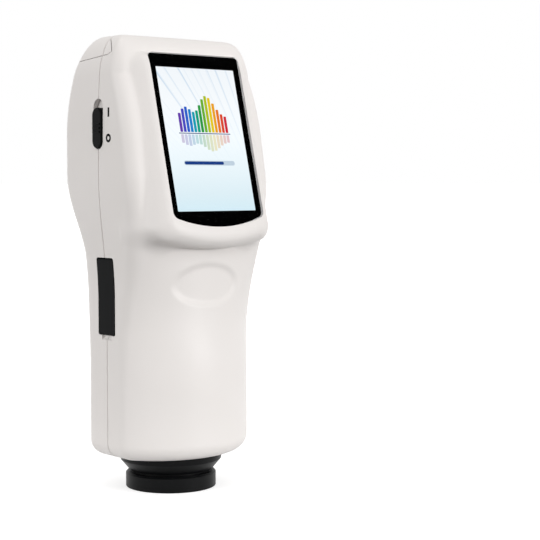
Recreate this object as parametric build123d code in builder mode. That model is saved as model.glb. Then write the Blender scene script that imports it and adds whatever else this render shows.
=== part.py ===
from build123d import *
import os
from math import cos, radians, sin, sqrt

os.makedirs("parts", exist_ok=True)

# Handheld color meter that stands on its calibration cap.
# Millimetres, +Z up. The origin is on the measuring axis, at the underside of the cap.
# The screen faces -Y, and the power switch and the rubber port cover are on the -X side.

# Housing
wall = 2.4
bezel_wall = 3.4
seam_gap = 0.15
foot_z = 18.0
foot_inset = 9.0
foot_height = 8.0
grip_half_width = 39.6
grip_front = 36.0
grip_front_corner = 13.0
waist_low = 50.0
waist_high = 100.0
waist_depth = 4.0
grip_rear = 36.3
grip_rear_corner = 15.0
head_half_width = 44.1
head_front_corner = 27.0
head_rear_corner = 31.8
grip_corner_radius = 11.0
head_corner_radius = 7.0
flare_low = 80.0
flare_high = 160.0
crown_z = 211.0
crown_top = 230.5
crown_round = 10.5

# Screen
screen_tilt = 14.29
screen_z = 179.0
screen_y = 31.25
glass_half_width = 28.2
glass_top = 43.75
glass_side_bottom = 39.8
glass_arc_bottom = 44.85
glass_thickness = 1.2
gasket_thickness = 0.25
panel_width = 51.0
panel_height = 75.6
module_width = 54.6
module_height = 83.0
module_thickness = 3.2
board_width = 64.0
board_height = 84.0
board_thickness = 1.6
board_gap = 4.8

# Battery compartment at the back of the head
cover_bottom = 133.0
cover_shoulder = 220.1
cover_slope = 0.097
cover_half_width = 30.0
cover_front = 0.3
cover_ear_front = 8.0
cover_ear_x = 41.2
cover_ear_width = 4.7
cover_corner = 5.0
shoulder_round = 12.0
bay_half_width = 26.0
bay_bottom = 149.5
bay_top = 212.5
bay_floor_y = 8.0
cell_diameter = 18.4
cell_length = 60.0

# Oval thumb rest below the screen
thumb_z = 106.2
thumb_half_width = 21.4
thumb_half_height = 11.0
thumb_depth = 1.1

# Measuring key on the back
key_z = 133.0
ring_radius = 11.0
key_radius = 7.0
key_travel = 1.2
key_gap = 0.3

# Power switch on the side seam
slot_bottom = 173.7
slot_length = 24.6
slot_width = 8.4
knob_length = 20.2
knob_proud = 1.1
switch_travel = 4.0

# Rubber port cover on the side seam
flap_bottom = 81.0
flap_hinge_z = 118.2
flap_width = 14.0
flap_thickness = 2.6
flap_gap = 0.3
pivot_radius = 0.7
pivot_length = 1.4

# Fasteners
rear_screw_x = 31.0
rear_screw_z = 125.0
rear_screw_radius = 1.5
foot_screw_x = 28.3
foot_screw_y = 11.5
foot_screw_radius = 1.1
board_screw_radius = 1.0
boss_radius = 3.4

# Nose, optics and calibration cap
cone_radius = 26.7
cone_knee_z = 14.4
neck_radius = 19.8
neck_top = 9.2
nose_z = 2.6
aperture_radius = 4.0
aperture_ring_radius = 12.0
sphere_radius = 20.0
sphere_wall = 2.0
sphere_z = 25.2
cap_radius = 23.35
cap_height = 8.0
cap_floor = 2.0
tile_radius = 13.0
tile_thickness = 1.1
groove_depth = 1.1
fit_gap = 0.3


def ease(value, start, end):
    """Smooth step from 0 at start to 1 at end."""
    share = min(max((value - start) / (end - start), 0), 1)
    return share * share * (3 - 2 * share)


tilt_run = sin(radians(screen_tilt)) / cos(radians(screen_tilt))
screen = Plane(
    origin=(0, -screen_y, screen_z),
    x_dir=(1, 0, 0),
    z_dir=(0, -cos(radians(screen_tilt)), sin(radians(screen_tilt))),
)


def section(z):
    """Half width, front bulge, front corner, rear bulge and rear corner of the housing at one height."""
    lean_back = max((z - flare_high - 20) / 31, 0) ** 2
    half_width = grip_half_width + (head_half_width - grip_half_width) * ease(z, flare_low + 20, flare_high)
    half_width -= min(lean_back, 1.6)
    head_front = screen_y + (screen_z - max(z, flare_high)) * tilt_run - 2.2
    head_corner = head_front_corner - (min(z, crown_z) - flare_high) * 0.16 - 4.8 * min(lean_back, 1)
    waist = ease(z, waist_low, waist_high)
    into_head = ease(z, flare_low, flare_high)
    front = grip_front - waist_depth * waist
    front += (head_front - front) * into_head
    front_corner = grip_front_corner + 1.4 * waist
    front_corner += (head_corner - front_corner) * into_head
    rear = grip_rear - 3.8 * lean_back
    swell = 2.3 * ease(z, flare_low - 20, flare_low + 40)
    rear_rise = head_rear_corner - grip_rear_corner - 2.3
    rear_corner = grip_rear_corner + swell + rear_rise * ease(z, flare_high - 42, flare_high) - 6.0 * lean_back
    return half_width, front, front_corner, rear, rear_corner


def inset_corner(bulge, corner, half_width, inset):
    """Where an arc through the bulge and the corners meets the side after both move in by inset."""
    drop = bulge - corner
    radius = (half_width**2 + drop**2) / (2 * drop)
    return (bulge - radius) + sqrt((radius - inset) ** 2 - (half_width - inset) ** 2)


def housing_face(z, inset=0.0):
    """Two flat sides joined by bulged front and rear arcs, with rounded corners."""
    half_width, front, front_corner, rear, rear_corner = section(z)
    side = half_width - inset
    rounding = grip_corner_radius + (head_corner_radius - grip_corner_radius) * ease(z, flare_low, flare_high)
    low = -inset_corner(front, front_corner, half_width, inset)
    high = inset_corner(rear, rear_corner, half_width, inset)
    with BuildSketch() as face:
        with BuildLine():
            ThreePointArc((-side, low), (0, inset - front), (side, low))
            Line((side, low), (side, high))
            ThreePointArc((side, high), (0, rear - inset), (-side, high))
            Line((-side, high), (-side, low))
        make_face()
        fillet(face.vertices(), radius=max(rounding - inset, 1.5))
    return face.sketch


station_shares = (0.0, 0.16, 0.29, 0.36, 0.41, 0.455, 0.5, 0.54, 0.585, 0.63, 0.67, 0.725, 0.8, 0.875, 0.94, 1.0)


def hull(inset):
    """The housing's rounded outline from foot to crown, moved in by inset."""
    foot_top = foot_z + foot_height
    foot_draw = foot_inset - 1.25 * inset
    rings = []
    for rise in (0.0, 0.05, 0.2, 0.5):
        # quarter ellipse round the foot
        height = foot_z + rise * foot_height + (1 - rise) * inset
        rings.append((height, foot_top, inset + foot_draw * (1 - sqrt(1 - (1 - rise) ** 2))))
    for share in station_shares:
        height = foot_top + (crown_z - foot_top) * share
        rings.append((height, height, inset))
    for step in range(1, 6):
        angle = radians(80) * step / 5
        height = crown_z + (crown_top - inset - crown_z) * sin(angle) / sin(radians(80))
        rings.append((height, height, inset + crown_round * (1 - cos(angle))))
    with BuildPart() as solid:
        for height, shape_height, ring_inset in rings:
            with BuildSketch(Plane.XY.offset(height)):
                add(housing_face(shape_height, ring_inset))
        loft(ruled=True)
    return solid.part


def screen_face(half_width, top, side_bottom, arc_bottom, top_radius, bottom_radius):
    """Upright rectangle whose lower edge is a shallow arc, drawn in the screen's plane."""
    with BuildSketch() as face:
        with BuildLine():
            Line((-half_width, -side_bottom), (-half_width, top))
            Line((-half_width, top), (half_width, top))
            Line((half_width, top), (half_width, -side_bottom))
            ThreePointArc((half_width, -side_bottom), (0, -arc_bottom), (-half_width, -side_bottom))
        make_face()
        corners = face.vertices().sort_by(Axis.Y)
        fillet(corners[2:], radius=top_radius)
        fillet(face.vertices().sort_by(Axis.Y)[:2], radius=bottom_radius)
    return face.sketch


def pod(inset, front_inset):
    """The raised screen surround: it widens towards the housing, and its chin overhangs below."""
    rim = glass_half_width + 0.6
    # depth from the screen's plane, spread to the sides and drop of the chin
    layers = (
        (0.6, 0.0, 2.0),
        (0.3, 1.2, 4.4),
        (-0.9, 2.5, 6.2),
        (-3.0, 4.3, 6.8),
        (-7.0, 7.6, 7.3),
        (-22.0, 11.2, 8.8),
    )
    with BuildPart() as solid:
        for depth, spread, chin in layers:
            with BuildSketch(screen.offset(depth - front_inset)):
                add(
                    screen_face(
                        rim + spread - inset,
                        glass_top + min(0.6 + spread, 3.0) - inset,
                        glass_side_bottom + 0.4 + chin - inset,
                        glass_arc_bottom + 0.9 + chin - inset,
                        4.0,
                        8.0,
                    )
                )
        loft(ruled=True)
    return solid.part


def cover_zone(grow):
    """The space of the battery cover: the crown's rear with two ears, and a tongue down to the key."""
    start_y = -20.0
    low = cover_shoulder - cover_slope * start_y - grow
    tongue_low = cover_bottom + cover_slope * (grip_rear - start_y) - grow
    front = -cover_front - grow
    ear_front = -cover_ear_front - grow
    ear_x = cover_ear_x - 0.56 * grow
    with BuildPart() as zone:
        with BuildSketch(Plane.XZ.offset(-start_y)) as face:
            with Locations((0, (tongue_low + 260) / 2)):
                Rectangle(2 * (cover_half_width + grow), 260 - tongue_low)
            with Locations((0, (low + 260) / 2)):
                Rectangle(140, 260 - low)
            inner = [v for v in face.vertices() if abs(v.Y - low) < 0.01 and abs(v.X) < 60]
            fillet(inner, radius=shoulder_round)
            fillet(face.vertices().group_by(Axis.Y)[0], radius=cover_corner)
        extrude(amount=90, dir=(0, 1, -cover_slope))
        # seen from above, the front edge runs along the seam and steps forward at both ends
        with BuildSketch(Plane.XY.offset(90)):
            with BuildLine():
                Polyline(
                    (-80, 80),
                    (-80, ear_front),
                    (-ear_x, ear_front),
                    (-ear_x + cover_ear_width, front),
                    (ear_x - cover_ear_width, front),
                    (ear_x, ear_front),
                    (80, ear_front),
                    (80, 80),
                    close=True,
                )
            make_face()
        extrude(amount=200, mode=Mode.INTERSECT)
        ear_edges = zone.edges().filter_by(Axis.X).group_by(Axis.Y)[0].group_by(Axis.Z)[0]
        fillet(ear_edges, radius=2.5)
    return zone.part


outer_hull = hull(0)
cover_hull = hull(wall - 0.2)
inner_hull = hull(wall)
ledge_hull = hull(2 * wall)
flap_hull = hull(-0.25)

with BuildPart() as housing_wall:
    add(outer_hull)
    add(pod(0, 0))
    add(inner_hull, mode=Mode.SUBTRACT)
    add(pod(wall, bezel_wall), mode=Mode.SUBTRACT)

key_y = grip_rear
ring_hole = ring_radius + 0.25
flange_y = key_y - 2 * wall - 1.7

with BuildPart() as cover_ledge:
    add(inner_hull)
    add(ledge_hull, mode=Mode.SUBTRACT)
    with BuildPart(mode=Mode.PRIVATE) as ledge_zone:
        add(cover_zone(3.0))
        with Locations((0, 30, key_z)):
            Cylinder(ring_radius + 5, 40, rotation=(90, 0, 0))
    add(ledge_zone.part, mode=Mode.INTERSECT)
    # flat pad under the key's bezel ring
    with Locations((0, flange_y + 0.9, key_z)):
        Cylinder(ring_radius + 3.6, 1.8, rotation=(90, 0, 0))
    with Locations((0, 30, (bay_bottom + bay_top) / 2)):
        Box(2 * bay_half_width, 60, bay_top - bay_bottom, mode=Mode.SUBTRACT)

side_x = section(slot_bottom + slot_length / 2)[0]
flap_x = section(flap_hinge_z)[0] - flap_thickness / 2 + 0.25
flap_top = flap_hinge_z + flap_thickness / 2
rear_head_y = section(rear_screw_z)[3] - 15.0

slot_center = slot_bottom + slot_length / 2
flap_center = (flap_bottom + flap_top) / 2
flap_height = flap_top - flap_bottom

# Everything that is cut through both shells along their seam, at the foot and at the key
with BuildPart() as openings:
    with BuildSketch(Plane.YZ.offset(-side_x)):
        with Locations((0, slot_center)):
            SlotOverall(slot_length, slot_width, rotation=90)
    extrude(amount=8, both=True)
    with BuildSketch(Plane.YZ.offset(-flap_x)) as flap_hole:
        with Locations((0, flap_center)):
            Rectangle(flap_width + 2 * flap_gap, flap_height + 2 * flap_gap)
        fillet(flap_hole.vertices(), radius=1.2)
    extrude(amount=6, both=True)
    with Locations((-flap_x, 0, flap_hinge_z)):
        pivot_reach = flap_width + 2 * pivot_length + 0.6
        Cylinder(pivot_radius + 0.08, pivot_reach, rotation=(90, 0, 0))
    with Locations((-section(flap_bottom)[0] - 0.9, 0, flap_bottom - 0.6)):
        Cylinder(2.2, 8.4, rotation=(90, 0, 0))
    with Locations((0, 0, foot_z)):
        Cylinder(cone_radius + fit_gap, 8)
    with GridLocations(2 * foot_screw_x, 2 * foot_screw_y, 2, 2):
        with Locations((0, 0, foot_z)):
            Cylinder(foot_screw_radius + 1.1, 2.4)
            Cylinder(foot_screw_radius + 0.2, 12)
    with Locations((0, key_y - 8, key_z)):
        Cylinder(ring_hole, 20, rotation=(90, 0, 0))

with BuildPart() as front_half_space:
    with Locations((0, -50, 130)):
        Box(120, 100, 260)

with BuildPart() as rear_half_space:
    with Locations((0, 50, 130)):
        Box(120, 100, 260)

# The thumb rest follows the grip's front at its own depth, and the wall keeps its thickness behind it
thumb_front = section(thumb_z)[1]
with BuildPart() as thumb_space:
    for depth, grow in ((8.0, -1.8), (-8.0, 2.2)):
        with BuildSketch(Plane.XZ.offset(thumb_front - depth)):
            with Locations((0, thumb_z)):
                Ellipse(thumb_half_width + grow, thumb_half_height + grow)
    loft()
    add(hull(thumb_depth), mode=Mode.SUBTRACT)

with BuildPart() as thumb_pad:
    with BuildSketch(Plane.XZ.offset(thumb_front - 12.0)):
        with Locations((0, thumb_z)):
            Ellipse(thumb_half_width + 1.5, thumb_half_height + 1.5)
    extrude(amount=20)
    add(inner_hull, mode=Mode.INTERSECT)
    add(hull(wall + thumb_depth), mode=Mode.SUBTRACT)

boss_x = board_width / 2 - 2.7
boss_top = board_height / 2 - 4.5
module_front = 0.6 - bezel_wall
module_back = module_front - module_thickness
module_drop = 1.2
board_front = module_back - board_gap
glass_back = 0.35 - glass_thickness

with BuildPart() as front_shell:
    # screw posts that meet those of the rear shell, kept inside the outline
    with BuildSketch(Plane.XZ):
        with GridLocations(2 * rear_screw_x, 1, 2, 1):
            with Locations((0, rear_screw_z)):
                Circle(boss_radius)
    extrude(amount=50)
    add(cover_hull, mode=Mode.INTERSECT)
    add(housing_wall.part)
    add(cover_zone(seam_gap), mode=Mode.SUBTRACT)
    add(cover_ledge.part)
    # posts that carry the main board behind the screen
    with BuildSketch(screen.offset(board_front)):
        with GridLocations(2 * boss_x, 2 * boss_top, 2, 2):
            Circle(2.6)
    extrude(amount=-board_front - bezel_wall)
    add(thumb_pad.part)
    add(front_half_space.part, mode=Mode.INTERSECT)
    with BuildSketch(Plane.XZ):
        with GridLocations(2 * rear_screw_x, 1, 2, 1):
            with Locations((0, rear_screw_z)):
                Circle(rear_screw_radius + 0.05)
    extrude(amount=12, mode=Mode.SUBTRACT)
    with BuildSketch(screen.offset(board_front)):
        with GridLocations(2 * boss_x, 2 * boss_top, 2, 2):
            Circle(board_screw_radius + 0.05)
    extrude(amount=5, mode=Mode.SUBTRACT)
    # room for the display module behind the bezel
    with BuildSketch(screen.offset(module_front)):
        with Locations((0, -module_drop)):
            Rectangle(module_width + 0.2, module_height + 0.2)
    extrude(amount=-module_thickness - 0.4, mode=Mode.SUBTRACT)
    # the glass sits in a pocket, and the panel shows through a window in its floor
    with BuildSketch(screen.offset(glass_back - gasket_thickness)):
        add(
            screen_face(
                glass_half_width + 0.2,
                glass_top + 0.2,
                glass_side_bottom + 0.2,
                glass_arc_bottom + 0.2,
                2.2,
                3.7,
            )
        )
    extrude(amount=6, mode=Mode.SUBTRACT)
    with BuildSketch(screen.offset(-8)):
        Rectangle(panel_width + 0.8, panel_height + 0.8)
    extrude(amount=12, mode=Mode.SUBTRACT)
    add(thumb_space.part, mode=Mode.SUBTRACT)
    add(openings.part, mode=Mode.SUBTRACT)

front_shell.part.label = "front_shell"
export_step(front_shell.part, "parts/front_shell.step")

with BuildPart() as rear_shell:
    # screw posts, kept inside the outline
    with BuildSketch(Plane.XZ.offset(-rear_head_y - 7)):
        with GridLocations(2 * rear_screw_x, 1, 2, 1):
            with Locations((0, rear_screw_z)):
                Circle(boss_radius + 0.8)
    extrude(amount=rear_head_y + 7)
    add(cover_hull, mode=Mode.INTERSECT)
    add(housing_wall.part)
    add(cover_zone(seam_gap), mode=Mode.SUBTRACT)
    add(cover_ledge.part)
    with BuildSketch(Plane.XZ):
        with GridLocations(2 * rear_screw_x, 1, 2, 1):
            with Locations((0, rear_screw_z)):
                Circle(rear_screw_radius + 0.2)
    extrude(amount=-60, mode=Mode.SUBTRACT)
    with BuildSketch(Plane.XZ.offset(-rear_head_y)):
        with GridLocations(2 * rear_screw_x, 1, 2, 1):
            with Locations((0, rear_screw_z)):
                Circle(rear_screw_radius + 1.3)
    extrude(amount=-30, mode=Mode.SUBTRACT)
    # ribs that carry the switch
    for rib_z in (slot_bottom - 4.0, slot_bottom + slot_length + 4.0):
        with Locations((-side_x + 5.0, 3.5, rib_z)):
            Box(7.0, 7.0, 3.0)
    add(rear_half_space.part, mode=Mode.INTERSECT)
    add(openings.part, mode=Mode.SUBTRACT)

rear_shell.part.label = "rear_shell"
export_step(rear_shell.part, "parts/rear_shell.step")

with BuildPart() as battery_cover:
    add(outer_hull)
    add(cover_hull, mode=Mode.SUBTRACT)
    add(cover_zone(0), mode=Mode.INTERSECT)
    with Locations((0, key_y - 8, key_z)):
        Cylinder(ring_hole + 0.1, 20, rotation=(90, 0, 0), mode=Mode.SUBTRACT)
    # two ribs that hold the cells down
    for rib_z in (bay_bottom + 0.28 * cell_length, bay_bottom + 0.72 * cell_length):
        rib_low = bay_floor_y + cell_diameter + fit_gap
        rib_high = section(rib_z)[3] - wall + 0.8
        with Locations((0, (rib_low + rib_high) / 2, rib_z)):
            Box(2 * cell_diameter - 4, rib_high - rib_low, 1.6)

battery_cover.part.label = "battery_cover"
export_step(battery_cover.part, "parts/battery_cover.step")

tray_side = 3.0
with BuildPart() as battery_tray:
    with Locations((0, bay_floor_y + 18.4, (bay_bottom + bay_top) / 2)):
        Box(2 * (bay_half_width + tray_side), 40, bay_top - bay_bottom + 4.6)
    add(hull(2 * wall + 0.3), mode=Mode.INTERSECT)
    with Locations((0, bay_floor_y + 30, (bay_bottom + bay_top) / 2)):
        Box(2 * bay_half_width, 60, bay_top - bay_bottom, mode=Mode.SUBTRACT)
    # side ribs keep the two cells in the middle
    for side in (-1, 1):
        for rib_z in (bay_bottom + 0.2 * cell_length, bay_bottom + 0.8 * cell_length):
            rib_width = bay_half_width - cell_diameter - fit_gap
            with Locations((side * (bay_half_width - rib_width / 2), bay_floor_y + 6, rib_z)):
                Box(rib_width, 12, 1.6)

battery_tray.part.label = "battery_tray"
export_step(battery_tray.part, "parts/battery_tray.step")

cell_y = bay_floor_y + cell_diameter / 2
with BuildPart() as battery_pack:
    with BuildSketch(Plane.XY.offset(bay_bottom)):
        with Locations((0, cell_y)):
            SlotOverall(2 * cell_diameter, cell_diameter)
    extrude(amount=cell_length)
    fillet(battery_pack.faces().filter_by(Axis.Z).edges(), radius=1.0)

battery_pack.part.label = "battery_pack"
export_step(battery_pack.part, "parts/battery_pack.step")

with BuildPart() as battery_contacts:
    # two sprung contacts on the bay's upper wall, pressed by the cells' ends
    for side in (-1, 1):
        with Locations((side * cell_diameter / 2, cell_y, bay_top - 0.3)):
            Box(9.0, 9.0, 0.6)
        with Locations((side * cell_diameter / 2, cell_y, (bay_bottom + cell_length + bay_top) / 2)):
            Cylinder(2.2, bay_top - bay_bottom - cell_length)

battery_contacts.part.label = "battery_contacts"
export_step(battery_contacts.part, "parts/battery_contacts.step")

# Display stack, in the screen's plane
with BuildPart() as display_glass:
    with BuildSketch(screen.offset(glass_back)):
        add(screen_face(glass_half_width, glass_top, glass_side_bottom, glass_arc_bottom, 2.0, 3.5))
    extrude(amount=glass_thickness)
    chamfer(display_glass.faces().sort_by(Axis(screen.origin, screen.z_dir))[-1].edges(), length=0.2)

display_glass.part.label = "display_glass"
export_step(display_glass.part, "parts/display_glass.step")

with BuildPart() as display_gasket:
    with BuildSketch(screen.offset(glass_back - gasket_thickness)):
        add(
            screen_face(
                glass_half_width - 0.3,
                glass_top - 0.3,
                glass_side_bottom - 0.3,
                glass_arc_bottom - 0.3,
                1.8,
                3.2,
            )
        )
        Rectangle(panel_width + 0.8, panel_height + 0.8, mode=Mode.SUBTRACT)
    extrude(amount=gasket_thickness)

display_gasket.part.label = "display_gasket"
export_step(display_gasket.part, "parts/display_gasket.step")

with BuildPart() as display_module:
    with BuildSketch(screen.offset(module_front)):
        with Locations((0, -module_drop)):
            Rectangle(module_width, module_height)
    extrude(amount=-module_thickness)
    with BuildSketch(screen.offset(module_front)):
        Rectangle(panel_width, panel_height)
    extrude(amount=glass_back - gasket_thickness - module_front)

display_module.part.label = "display_module"
export_step(display_module.part, "parts/display_module.step")

with BuildPart() as main_board:
    with BuildSketch(screen.offset(board_front)):
        RectangleRounded(board_width, board_height, 3)
        with GridLocations(2 * boss_x, 2 * boss_top, 2, 2):
            Circle(board_screw_radius + 0.2, mode=Mode.SUBTRACT)
    extrude(amount=-board_thickness)
    # processor, memory, power parts and connectors on the rear face
    with BuildSketch(screen.offset(board_front - board_thickness)):
        with Locations((-4, 12)):
            Rectangle(14, 14)
        with Locations((16, 14)):
            Rectangle(8, 11)
        with Locations((-4, -14)):
            Rectangle(10, 7)
    extrude(amount=-1.4)
    with BuildSketch(screen.offset(board_front - board_thickness)):
        with GridLocations(34, 48, 2, 2):
            Rectangle(6, 10)
    extrude(amount=-3.2)

main_board.part.label = "main_board"
export_step(main_board.part, "parts/main_board.step")

with BuildPart() as display_flex:
    # folded ribbon from the module's lower edge to the board's front face
    flex_low = -module_height / 2 - module_drop
    with BuildSketch(screen.offset(module_back)):
        with Locations((0, flex_low + 10)):
            Rectangle(20, 14)
    extrude(amount=-0.3)
    with BuildSketch(screen.offset(module_back)):
        with Locations((0, flex_low + 3.2)):
            Rectangle(20, 0.4)
    extrude(amount=board_front - module_back)

display_flex.part.label = "display_flex"
export_step(display_flex.part, "parts/display_flex.step")

with BuildPart() as board_screws:
    with BuildSketch(screen.offset(board_front - board_thickness)):
        with GridLocations(2 * boss_x, 2 * boss_top, 2, 2):
            Circle(board_screw_radius + 0.9)
    extrude(amount=-1.3)
    with BuildSketch(screen.offset(board_front - board_thickness)):
        with GridLocations(2 * boss_x, 2 * boss_top, 2, 2):
            Circle(board_screw_radius)
    extrude(amount=board_thickness + 4.5)

board_screws.part.label = "board_screws"
export_step(board_screws.part, "parts/board_screws.step")

# Measuring key: bezel ring, key, plunger, switch and its board, on one axis along Y
flange_front = flange_y - 2.0
board_y = flange_front - 4.2
stop_y = flange_y + 1.7
with BuildPart() as button_ring:
    with BuildSketch(Plane.XZ.offset(-flange_front)):
        with Locations((0, key_z)):
            Circle(ring_radius + 2.4)
            Circle(key_radius + 2.0, mode=Mode.SUBTRACT)
    extrude(amount=-2.0)
    with BuildSketch(Plane.XZ.offset(-flange_y)):
        with Locations((0, key_z)):
            Circle(ring_radius)
            Circle(key_radius + 2.0, mode=Mode.SUBTRACT)
    extrude(amount=flange_y - stop_y)
    with BuildSketch(Plane.XZ.offset(-stop_y)):
        with Locations((0, key_z)):
            Circle(ring_radius)
            Circle(key_radius + key_gap, mode=Mode.SUBTRACT)
    extrude(amount=stop_y - key_y + 0.1)
    fillet(button_ring.faces().sort_by(Axis.Y)[-1].edges(), radius=0.5)
    # two posts reach the switch board
    with BuildSketch(Plane.XZ.offset(-flange_front)):
        with GridLocations(2 * (key_radius + 4.2), 1, 2, 1):
            with Locations((0, key_z)):
                Circle(1.6)
    extrude(amount=flange_front - board_y)

button_ring.part.label = "button_ring"
export_step(button_ring.part, "parts/button_ring.step")

skirt_y = stop_y - key_gap
with BuildPart() as measure_button:
    with BuildSketch(Plane.XZ.offset(1.6 - skirt_y)):
        with Locations((0, key_z)):
            Circle(key_radius + 1.7)
    extrude(amount=-1.6)
    with BuildSketch(Plane.XZ.offset(-skirt_y)):
        with Locations((0, key_z)):
            Circle(key_radius)
    extrude(amount=skirt_y - key_y + 0.3)
    fillet(measure_button.faces().sort_by(Axis.Y)[-1].edges(), radius=0.6)
    # shallow dish for the fingertip
    with Locations((0, key_y + 33.2, key_z)):
        Sphere(34.2, mode=Mode.SUBTRACT)

measure_button.part.label = "measure_button"
export_step(measure_button.part, "parts/measure_button.step")

switch_front = board_y + 3.5
plunger_radius = 1.7
with BuildPart() as button_plunger:
    with BuildSketch(Plane.XZ.offset(1.6 - skirt_y)):
        with Locations((0, key_z)):
            Circle(plunger_radius)
    extrude(amount=skirt_y - 1.6 - switch_front + 0.5)

button_plunger.part.label = "button_plunger"
export_step(button_plunger.part, "parts/button_plunger.step")

with BuildPart() as button_switch:
    with BuildSketch(Plane.XZ.offset(-board_y)):
        with Locations((0, key_z)):
            RectangleRounded(6.2, 6.2, 0.6)
    extrude(amount=board_y - switch_front)
    with BuildSketch(Plane.XZ.offset(-switch_front)):
        with Locations((0, key_z)):
            Circle(plunger_radius + 0.25)
    extrude(amount=0.8 + key_travel, mode=Mode.SUBTRACT)

button_switch.part.label = "button_switch"
export_step(button_switch.part, "parts/button_switch.step")

with BuildPart() as button_board:
    with BuildSketch(Plane.XZ.offset(-board_y)):
        with Locations((0, key_z)):
            RectangleRounded(28, 14, 2)
    extrude(amount=board_thickness)

button_board.part.label = "button_board"
export_step(button_board.part, "parts/button_board.step")

# Power switch: slider outside, body inside
knob_center = slot_bottom + 0.4 + knob_length / 2
knob_back = -side_x + wall + 0.7
switch_x = -side_x + 8.5
with BuildPart() as power_switch_knob:
    with BuildSketch(Plane.YZ.offset(knob_back)):
        with Locations((0, knob_center)):
            SlotOverall(knob_length, slot_width - 0.6, rotation=90)
    extrude(amount=-(knob_back + side_x + knob_proud))
    fillet(power_switch_knob.faces().sort_by(Axis.X)[0].edges(), radius=0.6)
    # grip ribs
    for step in (-1, 0, 1):
        with Locations((-side_x - knob_proud, 0, knob_center + 2.0 * step)):
            Cylinder(0.5, slot_width - 2.6, rotation=(90, 0, 0))
    # flange that runs behind the wall, and the stem that drives the switch
    with Locations((knob_back + 0.6, 0, knob_center)):
        Box(1.2, slot_width + 3.0, knob_length + 1.0)
    with Locations(((knob_back + switch_x + 2.0) / 2, 0, knob_center)):
        Box(switch_x + 2.0 - knob_back, 2.4, 2.4)

power_switch_knob.part.label = "power_switch_knob"
export_step(power_switch_knob.part, "parts/power_switch_knob.step")

with BuildPart() as power_switch_body:
    with Locations((switch_x + 0.6, 1.0, slot_center)):
        Box(1.2, 11.0, slot_length + 14.0)
    with Locations((switch_x + 1.2 + 2.6, 0, knob_center + switch_travel / 2)):
        Box(5.2, 8.0, 20.0)
    with Locations((switch_x + 1.2, 0, knob_center + switch_travel / 2)):
        Box(3.6, 3.2, switch_travel + 3.6, mode=Mode.SUBTRACT)

power_switch_body.part.label = "power_switch_body"
export_step(power_switch_body.part, "parts/power_switch_body.step")

# Port cover, the bay behind it and its sockets
with BuildPart() as port_cover:
    with BuildSketch(Plane.YZ.offset(-flap_x - 4)) as flap_face:
        with Locations((0, (flap_bottom + flap_hinge_z) / 2)):
            Rectangle(flap_width, flap_hinge_z - flap_bottom)
        fillet(flap_face.vertices().group_by(Axis.Y)[0], radius=1.0)
    extrude(amount=8)
    add(flap_hull, mode=Mode.INTERSECT)
    add(hull(flap_thickness - 0.25), mode=Mode.SUBTRACT)
    with Locations((-flap_x, 0, flap_hinge_z)):
        Cylinder(flap_thickness / 2, flap_width, rotation=(90, 0, 0))
        Cylinder(pivot_radius, flap_width + 2 * pivot_length, rotation=(90, 0, 0))

port_cover.part.label = "port_cover"
export_step(port_cover.part, "parts/port_cover.step")

bay_floor_x = -flap_x + 4.2
bay_back_x = bay_floor_x + 1.6
connector_x = bay_back_x + 6.4
socket_usb_z = flap_bottom + 11.0
socket_power_z = flap_bottom + 27.0
with BuildPart() as port_bay:
    with Locations(((bay_back_x - 50) / 2, 0, flap_center)):
        Box(bay_back_x + 50, flap_width + 6.0, flap_height + 5.0)
    add(hull(wall + 0.25), mode=Mode.INTERSECT)
    with Locations(((bay_floor_x - 50) / 2, 0, flap_center)):
        Box(bay_floor_x + 50, flap_width + 2 * flap_gap, flap_height + 2 * flap_gap, mode=Mode.SUBTRACT)
    with Locations((bay_floor_x, 0, socket_usb_z)):
        Box(8, 8.2, 4.8, mode=Mode.SUBTRACT)
    with Locations((bay_floor_x, 0, socket_power_z)):
        Cylinder(4.2, 8, rotation=(0, 90, 0), mode=Mode.SUBTRACT)
    with BuildSketch(Plane.YZ.offset(bay_back_x)):
        for post_z in (flap_bottom + 3.5, flap_bottom + 35.0):
            with Locations((0, post_z)):
                Circle(2.0)
    extrude(amount=connector_x - bay_back_x)

port_bay.part.label = "port_bay"
export_step(port_bay.part, "parts/port_bay.step")

with BuildPart() as connector_board:
    with BuildSketch(Plane.YZ.offset(connector_x)):
        with Locations((0, flap_bottom + 19.0)):
            RectangleRounded(17, 39, 1.5)
    extrude(amount=board_thickness)

connector_board.part.label = "connector_board"
export_step(connector_board.part, "parts/connector_board.step")

with BuildPart() as usb_socket:
    with BuildSketch(Plane.YZ.offset(bay_floor_x)):
        with Locations((0, socket_usb_z)):
            RectangleRounded(7.7, 4.2, 0.7)
    extrude(amount=connector_x - bay_floor_x)
    with BuildSketch(Plane.YZ.offset(bay_floor_x)):
        with Locations((0, socket_usb_z)):
            RectangleRounded(6.9, 3.4, 0.4)
            Rectangle(5.0, 0.9, mode=Mode.SUBTRACT)
    extrude(amount=5.5, mode=Mode.SUBTRACT)

usb_socket.part.label = "usb_socket"
export_step(usb_socket.part, "parts/usb_socket.step")

with BuildPart() as dc_jack:
    with BuildSketch(Plane.YZ.offset(bay_back_x + 0.2)):
        with Locations((0, socket_power_z)):
            RectangleRounded(9.0, 10.0, 0.8)
    extrude(amount=connector_x - bay_back_x - 0.2)
    with BuildSketch(Plane.YZ.offset(bay_floor_x)):
        with Locations((0, socket_power_z)):
            Circle(3.9)
    extrude(amount=3.0)
    with BuildSketch(Plane.YZ.offset(bay_floor_x)):
        with Locations((0, socket_power_z)):
            Circle(2.85)
            Circle(1.0, mode=Mode.SUBTRACT)
    extrude(amount=6.5, mode=Mode.SUBTRACT)

dc_jack.part.label = "dc_jack"
export_step(dc_jack.part, "parts/dc_jack.step")

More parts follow.
